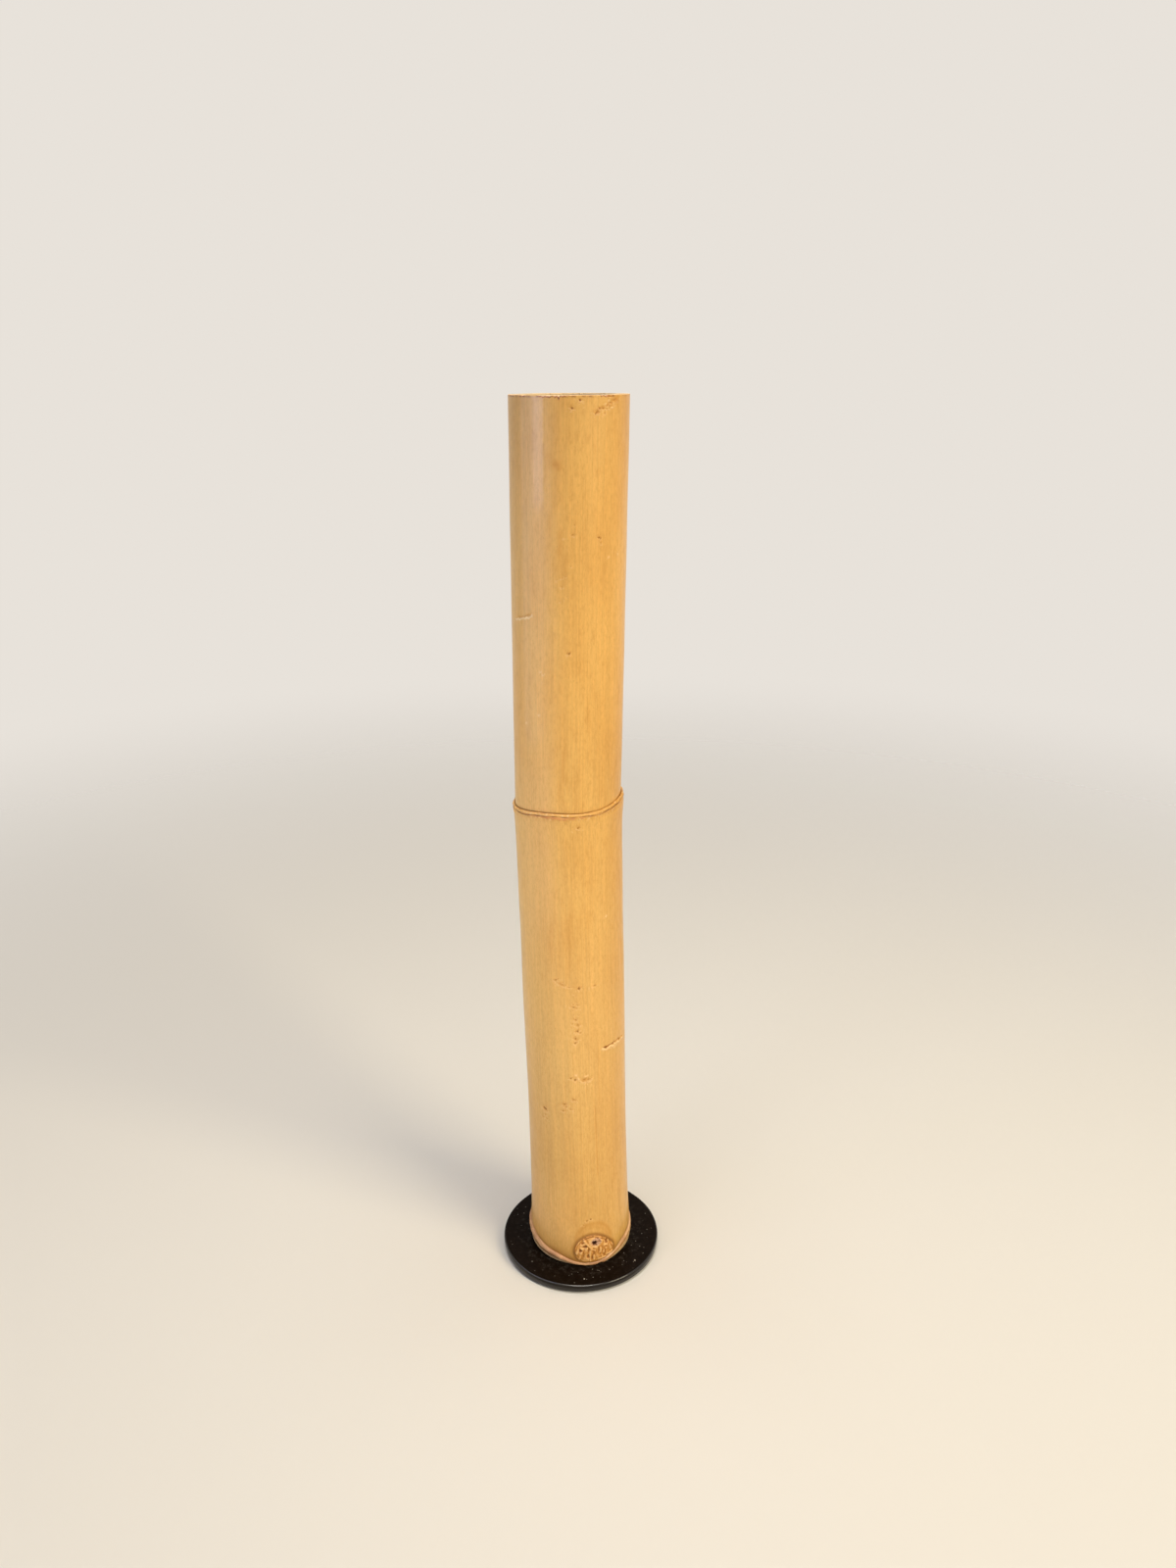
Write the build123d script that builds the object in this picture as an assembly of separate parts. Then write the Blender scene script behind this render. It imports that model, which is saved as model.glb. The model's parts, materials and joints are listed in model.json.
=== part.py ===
from build123d import *
import os
from math import cos, radians, sin

# Bamboo vase: one length of culm with a node at mid height and a node at its foot, screwed to a round
# steel plate, with a lift-out liner in the upper internode.
# Millimetres. The origin is on the table at the centre of the plate, +Z is up and -Y is the front.

# Floor pad and base plate
FELT_THICKNESS = 1.0
FELT_INSET = 3.0
PLATE_DIAMETER = 125.0
PLATE_THICKNESS = 6.0
PLATE_EDGE_RADIUS = 1.0

# Culm axis: straight in each internode, with a kink at the node
CULM_LENGTH = 648.0
NODE_HEIGHT = 378.0
NODE_SHIFT = -6.3
RIM_SHIFT = -2.6

# Culm outside, as diameters with their heights above the foot
FOOT_DIAMETER = 78.6
WAIST_DIAMETER = 75.1
WAIST_HEIGHT = 125.0
BELLY_DIAMETER = 76.0
BELLY_HEIGHT = 240.0
COLLAR_DIAMETER = 76.4
NECK_DIAMETER = 73.8
RIM_DIAMETER = 76.4
RIM_CHAMFER = 0.4

# Culm inside
UPPER_WALL = 7.0
LOWER_WALL = 8.5
DIAPHRAGM_THICKNESS = 6.0
BORE_CORNER_RADIUS = 4.0
VENT_DIAMETER = 8.0

# Sheath-scar rings at the two nodes; each leans towards its low side
MID_RING_PROUD = 0.7
MID_RING_THICKNESS = 4.0
MID_RING_LEAN = 6.7
MID_RING_LOW_SIDE = 180.0
FOOT_RING_PROUD = 1.9
FOOT_RING_THICKNESS = 4.6
FOOT_RING_LEAN = 9.5
FOOT_RING_LOW_SIDE = -74.0
FOOT_RING_HEIGHT = 11.0
RING_ROUNDING = 0.5  # edge radius of a ring, as a share of how far it stands proud

# Sawn branch scars, which alternate sides from node to node
FOOT_SCAR_WIDTH = 33.0
FOOT_SCAR_TALL = 25.0
FOOT_SCAR_HEIGHT = 17.0
FOOT_SCAR_SIDE = -74.0
MID_SCAR_WIDTH = 24.0
MID_SCAR_TALL = 19.0
MID_SCAR_ABOVE_RING = 15.0
MID_SCAR_SIDE = 106.0
SCAR_PROUD = 1.6
SCAR_SPREAD = 4.0
PITH_DIAMETER = 3.5
PITH_DEPTH = 5.0

# Foot plug and its screws
PLUG_THICKNESS = 15.0
PLUG_SIDE_GAP = 0.15
PLUG_TOP_GAP = 0.2
SCREW_COUNT = 3
SCREW_CIRCLE = 36.0
SCREW_DIAMETER = 4.0
SCREW_CORE_DIAMETER = 2.8
SCREW_HEAD_DIAMETER = 8.0
SCREW_BITE = 11.0
SCREW_PITCH = 1.5
SCREW_POINT = 3.0
SCREW_HOLE_GAP = 0.25
RECESS_LENGTH = 4.4
RECESS_WIDTH = 0.9
RECESS_DEPTH = 1.4

# Liner, which stands on the upper diaphragm
LINER_WALL = 1.6
LINER_FLOOR = 2.0
LINER_SIDE_GAP = 1.6
LINER_DROP = 9.0
LINER_LIP_GAP = 0.6
LINER_LIP_TALL = 3.0

# Levels and frames that follow from the sizes above
PLATE_TOP = FELT_THICKNESS + PLATE_THICKNESS
FOOT = Vector(0, 0, PLATE_TOP)
NODE = Vector(NODE_SHIFT, 0, PLATE_TOP + NODE_HEIGHT)
RIM = Vector(RIM_SHIFT, 0, PLATE_TOP + CULM_LENGTH)
LOWER_FRAME = Plane(FOOT, x_dir=(1, 0, 0), z_dir=NODE - FOOT)
UPPER_FRAME = Plane(NODE, x_dir=(1, 0, 0), z_dir=RIM - NODE)
LOWER_LENGTH = (NODE - FOOT).length
UPPER_LENGTH = (RIM - NODE).length
SAW_SPARE = PLATE_THICKNESS  # extra length at both ends of the culm, which the saw cuts take off
UPPER_BORE_RADIUS = min(NECK_DIAMETER, RIM_DIAMETER) / 2 - UPPER_WALL
LOWER_BORE_RADIUS = min(FOOT_DIAMETER, WAIST_DIAMETER, BELLY_DIAMETER, COLLAR_DIAMETER) / 2 - LOWER_WALL
SOCKET_DEPTH = PLUG_THICKNESS + PLUG_TOP_GAP
LINER_RADIUS = UPPER_BORE_RADIUS - LINER_SIDE_GAP
FLOOR_LEVEL = DIAPHRAGM_THICKNESS / 2
ON_FLOOR = (Align.CENTER, Align.CENTER, Align.MIN)


def turned(edges, frame=Plane.XY):
    """A solid of revolution from edges drawn as (radius, height), about the frame's own Z axis."""
    outline = Plane.XZ * make_face(edges)
    return frame * revolve(outline, Axis.Z)


def side_frame(centre, side, height):
    """A frame at a height above a point, whose Z axis points outwards to a side given in degrees from +X."""
    outwards = Vector(cos(radians(side)), sin(radians(side)), 0)
    across = Vector(-sin(radians(side)), cos(radians(side)), 0)
    return Plane(centre + Vector(0, 0, height), x_dir=across, z_dir=outwards)


def leaning_frame(centre, lean, low_side):
    """A frame whose Z axis leans so that its XY plane is lowest towards low_side."""
    tip = sin(radians(lean))
    normal = Vector(tip * cos(radians(low_side)), tip * sin(radians(low_side)), cos(radians(lean)))
    return Plane(centre, x_dir=(1, 0, 0), z_dir=normal)


def lower_internode():
    """The outside of the lower internode, from under the saw cut at the foot to the node."""
    foot = (FOOT_DIAMETER / 2, 0)
    waist = (WAIST_DIAMETER / 2, WAIST_HEIGHT)
    belly = (BELLY_DIAMETER / 2, BELLY_HEIGHT)
    top = (COLLAR_DIAMETER / 2, LOWER_LENGTH)
    outline = [
        TangentArc(waist, foot, tangent=(0, -1)),
        ThreePointArc(waist, belly, top),
        Polyline(top, (0, LOWER_LENGTH), (0, -SAW_SPARE), (FOOT_DIAMETER / 2, -SAW_SPARE), foot),
    ]
    return turned(outline, LOWER_FRAME)


def upper_internode():
    """The outside of the upper internode, from inside the node to past the rim."""
    neck, rim = NECK_DIAMETER / 2, RIM_DIAMETER / 2
    corners = [
        (0, -MID_RING_THICKNESS),
        (neck, -MID_RING_THICKNESS),
        (neck, 0),
        (rim, UPPER_LENGTH),
        (rim, UPPER_LENGTH + SAW_SPARE),
        (0, UPPER_LENGTH + SAW_SPARE),
    ]
    return turned(Polyline(*corners, close=True), UPPER_FRAME)


def scar_ring(culm_radius, proud, thickness, frame):
    """A thin round-edged disc across the culm, whose rim is the ring that a fallen sheath leaves."""
    disc = Cylinder(culm_radius + proud, thickness)
    return frame * fillet(disc.edges().filter_by(GeomType.CIRCLE), RING_ROUNDING * min(proud, thickness / 2))


def mid_ring():
    frame = leaning_frame(NODE, MID_RING_LEAN, MID_RING_LOW_SIDE)
    return scar_ring(COLLAR_DIAMETER / 2, MID_RING_PROUD, MID_RING_THICKNESS, frame)


def foot_ring():
    centre = FOOT + Vector(0, 0, FOOT_RING_HEIGHT)
    frame = leaning_frame(centre, FOOT_RING_LEAN, FOOT_RING_LOW_SIDE)
    return scar_ring(FOOT_DIAMETER / 2, FOOT_RING_PROUD, FOOT_RING_THICKNESS, frame)


def branch_scar(centre, culm_radius, side, height, width, tall):
    """An oval pad, sawn to follow the culm, with the branch's pith hole in it."""
    frame = side_frame(centre, side, height)
    face_radius = culm_radius + SCAR_PROUD
    root = frame.offset(culm_radius / 2) * Ellipse(width / 2 + SCAR_SPREAD, tall / 2 + SCAR_SPREAD)
    tip = frame.offset(face_radius + SCAR_SPREAD) * Ellipse(width / 2, tall / 2)
    stub = loft([root.face(), tip.face()])
    skin = Pos(*(centre + Vector(0, 0, height))) * Cylinder(face_radius, 2 * (tall + SCAR_SPREAD))
    pith_centre = frame.offset(face_radius - PITH_DEPTH / 2)
    pith = pith_centre * Cylinder(PITH_DIAMETER / 2, PITH_DEPTH + 2 * SCAR_PROUD)
    return stub & skin, pith


def bore(radius, bottom, top, frame, rounded):
    """A round cavity between two heights of a frame, with the named ends rounded."""
    cavity = Pos(0, 0, bottom) * Cylinder(radius, top - bottom, align=ON_FLOOR)
    circles = cavity.edges().filter_by(GeomType.CIRCLE).sort_by(Axis.Z)
    ends = {"bottom": [circles[0]], "both": [circles[0], circles[-1]]}[rounded]
    return frame * fillet(ends, BORE_CORNER_RADIUS)


def bamboo_culm():
    foot_scar, foot_pith = branch_scar(
        FOOT, FOOT_DIAMETER / 2, FOOT_SCAR_SIDE, FOOT_SCAR_HEIGHT, FOOT_SCAR_WIDTH, FOOT_SCAR_TALL
    )
    mid_scar, mid_pith = branch_scar(
        NODE, NECK_DIAMETER / 2, MID_SCAR_SIDE, MID_SCAR_ABOVE_RING, MID_SCAR_WIDTH, MID_SCAR_TALL
    )
    culm = lower_internode() + upper_internode() + mid_ring() + foot_ring() + foot_scar + mid_scar
    between_saw_cuts = Box(PLATE_DIAMETER, PLATE_DIAMETER, CULM_LENGTH, align=ON_FLOOR)
    culm = culm & (Pos(*FOOT) * between_saw_cuts)
    culm -= bore(UPPER_BORE_RADIUS, FLOOR_LEVEL, UPPER_LENGTH + SAW_SPARE, UPPER_FRAME, "bottom")
    hollow_bottom = SOCKET_DEPTH + DIAPHRAGM_THICKNESS
    culm -= bore(LOWER_BORE_RADIUS, hollow_bottom, LOWER_LENGTH - FLOOR_LEVEL, LOWER_FRAME, "both")
    culm -= Pos(*FOOT) * Cylinder(LOWER_BORE_RADIUS, 2 * SOCKET_DEPTH)
    culm -= Pos(*FOOT) * Cylinder(VENT_DIAMETER / 2, 2 * (hollow_bottom + DIAPHRAGM_THICKNESS))
    culm -= foot_pith
    culm -= mid_pith
    rim_edges = culm.faces().sort_by(Axis.Z)[-1].edges()
    return chamfer(rim_edges, RIM_CHAMFER)


def screw_places():
    return [Rot(0, 0, 90 + i * 360 / SCREW_COUNT) * Pos(SCREW_CIRCLE / 2, 0) for i in range(SCREW_COUNT)]


def foot_plug():
    plug = Cylinder(LOWER_BORE_RADIUS - PLUG_SIDE_GAP, PLUG_THICKNESS, align=ON_FLOOR)
    for place in screw_places():
        plug -= place * Cylinder(SCREW_CORE_DIAMETER / 2, 2 * PLUG_THICKNESS)
    return Pos(*FOOT) * plug


def base_plate():
    disc = Cylinder(PLATE_DIAMETER / 2, PLATE_THICKNESS, align=ON_FLOOR)
    disc = fillet(disc.edges().filter_by(GeomType.CIRCLE), PLATE_EDGE_RADIUS)
    for place in screw_places():
        disc -= place * countersunk_hole()
    return Pos(0, 0, FELT_THICKNESS) * disc


def countersunk_hole():
    """A screw hole that opens downwards, wider than the screw by the hole gap all round."""
    shank = SCREW_DIAMETER / 2 + SCREW_HOLE_GAP
    head = SCREW_HEAD_DIAMETER / 2 + SCREW_HOLE_GAP
    corners = [(0, 0), (head, 0), (shank, head - shank), (shank, PLATE_THICKNESS), (0, PLATE_THICKNESS)]
    return turned(Polyline(*corners, close=True))


def base_screw():
    """A countersunk wood screw, head down, with its thread drawn as rings at the thread's pitch."""
    head, shank, core = SCREW_HEAD_DIAMETER / 2, SCREW_DIAMETER / 2, SCREW_CORE_DIAMETER / 2
    tip = PLATE_THICKNESS + SCREW_BITE
    corners = [(0, 0), (head, 0), (shank, head - shank), (shank, PLATE_THICKNESS)]
    crest = PLATE_THICKNESS + SCREW_PITCH
    while crest + SCREW_PITCH / 2 < tip - SCREW_POINT:
        corners += [(core, crest - SCREW_PITCH / 2), (shank, crest)]
        crest += SCREW_PITCH
    corners += [(core, crest - SCREW_PITCH / 2), (core, tip - SCREW_POINT), (0, tip)]
    screw = turned(Polyline(*corners, close=True))
    for turn in (0, 90):
        screw -= Rot(0, 0, turn) * Box(RECESS_LENGTH, RECESS_WIDTH, 2 * RECESS_DEPTH)
    return screw


def base_screws():
    return Compound([Pos(0, 0, FELT_THICKNESS) * place * base_screw() for place in screw_places()])


def felt_pad():
    radius = PLATE_DIAMETER / 2 - FELT_INSET
    return Cylinder(radius, FELT_THICKNESS, align=ON_FLOOR)


def water_liner():
    """A plain tube with a floor and a rolled lip, below the rim of the culm."""
    outer, inner = LINER_RADIUS, LINER_RADIUS - LINER_WALL
    lip = UPPER_BORE_RADIUS - LINER_LIP_GAP
    bottom, top = FLOOR_LEVEL, UPPER_LENGTH - LINER_DROP
    corner = BORE_CORNER_RADIUS
    lip_under = top - LINER_LIP_TALL
    outline = [
        Line((0, bottom), (outer - corner, bottom)),
        RadiusArc((outer - corner, bottom), (outer, bottom + corner), -corner),
        Line((outer, bottom + corner), (outer, lip_under)),
        Line((outer, lip_under), (lip, lip_under + (lip - outer))),
        Line((lip, lip_under + (lip - outer)), (lip, top)),
        Line((lip, top), (inner, top)),
        Line((inner, top), (inner, bottom + LINER_FLOOR)),
        Line((inner, bottom + LINER_FLOOR), (0, bottom + LINER_FLOOR)),
        Line((0, bottom + LINER_FLOOR), (0, bottom)),
    ]
    return turned(outline, UPPER_FRAME)


PIECES = {
    "bamboo_culm": bamboo_culm,
    "water_liner": water_liner,
    "foot_plug": foot_plug,
    "base_plate": base_plate,
    "base_screws": base_screws,
    "felt_pad": felt_pad,
}

os.makedirs("parts", exist_ok=True)
for name, make in PIECES.items():
    export_step(make(), f"parts/{name}.step")
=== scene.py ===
import json
from math import cos, degrees, pi, radians, sin, sqrt

import bmesh
import bpy
import numpy as np
from mathutils import Matrix, Vector

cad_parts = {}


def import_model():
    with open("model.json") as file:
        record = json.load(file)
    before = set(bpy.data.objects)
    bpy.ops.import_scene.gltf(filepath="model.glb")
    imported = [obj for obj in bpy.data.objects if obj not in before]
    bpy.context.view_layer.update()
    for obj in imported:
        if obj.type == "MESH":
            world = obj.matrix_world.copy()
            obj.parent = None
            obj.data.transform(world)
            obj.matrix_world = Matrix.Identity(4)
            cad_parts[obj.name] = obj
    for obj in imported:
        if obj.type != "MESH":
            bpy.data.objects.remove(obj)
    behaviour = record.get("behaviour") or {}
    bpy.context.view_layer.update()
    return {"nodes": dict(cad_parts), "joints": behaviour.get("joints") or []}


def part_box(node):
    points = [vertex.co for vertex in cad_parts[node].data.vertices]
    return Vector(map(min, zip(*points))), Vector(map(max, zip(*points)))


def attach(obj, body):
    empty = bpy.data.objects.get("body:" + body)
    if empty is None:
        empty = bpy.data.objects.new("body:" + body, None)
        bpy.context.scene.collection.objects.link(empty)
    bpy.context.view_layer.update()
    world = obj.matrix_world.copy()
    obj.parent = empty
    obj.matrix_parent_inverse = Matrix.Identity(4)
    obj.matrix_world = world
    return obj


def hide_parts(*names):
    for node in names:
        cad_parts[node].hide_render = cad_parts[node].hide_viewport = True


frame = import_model()

# Sizes are millimetres and angles are degrees, in the CAD model's frame: the origin is on the table under
# the plate's centre, +Z is up and -Y is the front. A side is an angle from +X, so the front is -90.
MM = 0.001

# Levels and axes, from the CAD model where it gives them
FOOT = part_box("base_plate")[1].z / MM
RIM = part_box("bamboo_culm")[1].z / MM
NODE_HEIGHT = 378.0
NODE = FOOT + NODE_HEIGHT
NODE_SHIFT = -6.3
LIFT_AXIS = Vector(frame["joints"][0]["axis"])
LOWER_LEAN = NODE_SHIFT / (NODE - FOOT)
UPPER_LEAN = LIFT_AXIS.x / LIFT_AXIS.z

# Outside of the culm, as (height, diameter)
LOWER_OUTSIDE = [
    (7, 79.0), (26, 78.5), (49, 76.9), (94, 75.7), (138, 75.1), (221, 76.1), (300, 75.6), (345, 75.8),
    (362, 76.2), (372, 76.9), (379, 78.0), (384, 78.6),
]
UPPER_OUTSIDE = [(382, 74.5), (402, 74.7), (436, 75.2), (486, 75.6), (549, 76.2), (655, 76.9)]
OVAL = 0.22
OVAL_TURN = 20.0
DENTS = 0.07
RIPPLE_WAVES = 14  # waves that make up a random field

# Inside of the culm
BORE_RADIUS = 29.9
HOLLOW_RADIUS = 29.05
SOCKET_DEPTH = 15.2
SOCKET_SPARE = 0.25
DIAPHRAGM = 6.0
CORNER_RADIUS = 4.0
VENT_RADIUS = 4.0
RIM_EDGE = 0.4

# Ring at the middle node: it rises to the right and waves a little
RING_TILT = 3.0
RING_WAVE = 1.2
RING_REACH = 75.0
RIDGE_LEAN = 0.05
NECK_RADIUS = 37.4
UPPER_TUCK = 2.6  # the upper piece of the culm starts this far below the node
LOWER_TUCK = 2.2  # the lower piece is closed this far below it
# Painted shade in the groove over the node's ridge: its width, and where it fades
CREASE_WIDTH = 0.55
CREASE_SIDE = -100.0  # the crease over the ridge is fainter over these turns from here to the right
CREASE_FADE = (20.0, 60.0)

# The ridge's section: (stands out from the neck, drops below the crease)
RIDGE_SECTION = [
    (-1.2, 2.0), (-0.25, 0.9), (0.15, 0.25), (0.6, -0.15), (1.15, -0.1), (1.65, 0.4), (1.85, 1.05),
    (1.78, 1.55), (1.36, 1.8), (1.7, 2.05), (1.9, 2.6), (1.8, 3.6), (1.62, 5.4),
]

# Rags of sheath on the ridge, and the painted shade in the gap along it, which is darker past its ends
RAG_SIDE = -98.0
RAG_SPREAD = 30.0
GAP_SIDE = -88.0
GAP_ENDS = (18.0, 42.0)
GAP_DROP = 1.85
GAP_WIDTH = 0.38

# Sheath lip round the foot: (turn from its low side, level of its middle, half height)
LIP_LOW_SIDE = -74.0
LIP_LEVELS = [
    (-180, 22.6, 2.0), (-130, 21.7, 2.1), (-100, 19.5, 2.0), (-85, 17.8, 1.9), (-72, 16.0, 1.7),
    (-58, 14.3, 1.45), (-50, 13.7, 1.4), (-41, 12.5, 1.3), (-33, 11.0, 1.2), (-24, 9.6, 1.1),
    (-14, 8.5, 1.05), (-4, 8.1, 1.05), (4, 8.2, 1.1), (12, 9.0, 1.6), (23, 11.2, 2.5), (37, 13.3, 3.0),
    (51, 15.3, 3.0), (71, 17.7, 2.5), (100, 20.2, 2.1), (130, 22.0, 2.0), (180, 22.6, 2.0),
]
LIP_NOTCH_TURN = 5.0
LIP_NOTCH_WIDTH = 2.2
# Stretches of the lip that have lost their skin or stand out less: the turns where each starts, is full,
# fades and ends
LIP_BARE_TURNS = (8.0, 16.0, 66.0, 84.0)
LIP_FLAT_TURNS = (12.0, 40.0, 120.0, 170.0)
LIP_FLAT_SHARE = 0.42
LIP_COLUMNS = 720
# Dirt and painted shade above the lip: the side where they are strongest and how far round they reach
GRIME_AND_SHADE_SIDE = -114.0
GRIME_AND_SHADE_SPREAD = 30.0

# The lip's section: (stands out from the culm, stands above its middle in half heights)
LIP_SECTION = [
    (-0.9, -0.8), (0.8, -1.08), (1.5, -1.02), (1.85, -0.84), (2.0, -0.55), (2.05, -0.2), (1.95, 0.15),
    (1.72, 0.48), (1.35, 0.76), (0.92, 0.95), (0.45, 1.08), (0.0, 1.12), (-0.6, 0.8),
]

# Branch scars: lobes are (across, up, radius) and pits are (across, up, half width, half height, depth) from
# the scar's centre, ridges are raised lines through points, and stroke is the spacing of the strokes below
# the pith
FOOT_SCAR = {
    "side": -74.0, "height": 22.5, "stroke": 3.0, "pith": (0.8, 5.6),
    "lobes": [
        (-2.0, 1.5, 11.2), (3.5, 0.5, 8.8), (7.2, -4.4, 9.4), (-5.5, 0.6, 9.9), (-7.0, -3.4, 9.3),
        (-1.0, -4.5, 8.5),
    ],
    "pits": [
        (-0.2, 4.3, 2.1, 2.1, 3.2), (3.4, 5.4, 1.0, 0.8, 0.7), (-9.5, 5.6, 1.0, 1.2, 0.8),
        (-7.7, 2.4, 1.7, 1.4, 1.5), (-11.1, -1.2, 1.2, 1.4, 1.4), (9.3, 3.6, 1.0, 2.2, 1.0),
        (8.6, -1.0, 1.3, 1.3, 0.6), (-5.4, -7.0, 1.0, 1.8, 0.6),
    ],
    "ridges": [
        [(-8.4, 8.9), (-5.1, 3.2), (-2.3, -0.8), (-0.1, -2.3)], [(2.7, -10.9), (6.5, -10.6), (9.0, -10.4)],
        [(9.1, -8.7), (12.9, -8.4), (15.0, -7.6)], [(-15.4, -6.7), (-13.0, -10.2)],
        [(4.8, -1.1), (3.6, -5.2)], [(7.1, -3.8), (6.7, -6.3)], [(-1.0, -6.5), (-1.1, -10.1)],
    ],
}
NODE_SCAR = {
    "side": 106.0, "height": NODE + 15.0, "stroke": 2.5, "pith": (1.2, 1.8),
    "lobes": [(1.5, 0.0, 8.8), (-5.8, -1.0, 5.8)],
    "pits": [
        (0.8, 1.4, 1.2, 1.3, 2.6), (2.6, 2.2, 0.9, 0.8, 1.0), (-5.4, 0.6, 1.0, 0.8, 1.0),
        (-7.4, -1.6, 0.6, 1.0, 0.8), (6.0, 1.0, 0.7, 1.1, 0.7),
    ],
    "ridges": [[(-4.0, 5.0), (-3.0, 1.0), (-1.4, -3.4)], [(4.6, -5.4), (8.0, -3.0)]],
}
SCAR_PROUD = 1.5  # the sawn face stands out from the skin
SCAR_SINK = 2.6  # its edge runs down into the skin
SCAR_RECESS = 4.6  # the skin is cut away under it
SCAR_RECESS_EDGE = (-1.0, -2.4)  # from the outline: where the cut starts and where it is full
SCAR_SWELL = 1.1  # the skin is swollen round it
SCAR_SWELL_REACH = 6.5
SCAR_MARGIN = 2.0
SCAR_STEP = 0.3
SCAR_BLUR = 80  # rounds of smoothing; what lies below the smoothed face gets painted shade, what stands above it painted light

# Pith of a branch scar: radii where each of its forms starts and where it is full
PITH_HOLLOW = (3.8, 2.2)
PITH_TINT = (5.2, 3.2)
PITH_STROKES = (3.8, 6.5)
PITH_RING = 4.4
PITH_RING_WIDTH = 0.9

# The stained arch in the skin over the foot scar: an ellipse with lines, as (share of its size, width, stain)
ARCH = {
    "across": -0.4, "height": 28.0, "wide": 14.6, "tall": 16.5, "stain": 0.1, "levels": (24.0, 32.0),
    "lines": [(1.0, 0.1, 0.36), (0.8, 0.07, 0.18)],
}

# The culm's mesh
SEAM = 90.0  # the side where it starts
COLUMNS = 264
PLAIN_STEP = 2.2
FINE_STEP = 1.1
EDGE_STEP = 0.6
FOOT_STEP = 0.5
NODE_FINE = 40.0  # its rows are finer this far from the node and the rim
RIM_FINE = 14.0
FOOT_FINE_LEVEL = 54.0  # and below this level
PIT_ZONE = 2.6  # its faces are finer this many sizes of a pit round it
CRACK_ZONE = 3  # and this many half widths round a crack

# Felt pad
FELT_COLUMNS = 240
FELT_RINGS = 44
FELT_EDGE_FUZZ = 0.12
FELT_FACE_FUZZ = 0.025
FELT_SEED = 71

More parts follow.
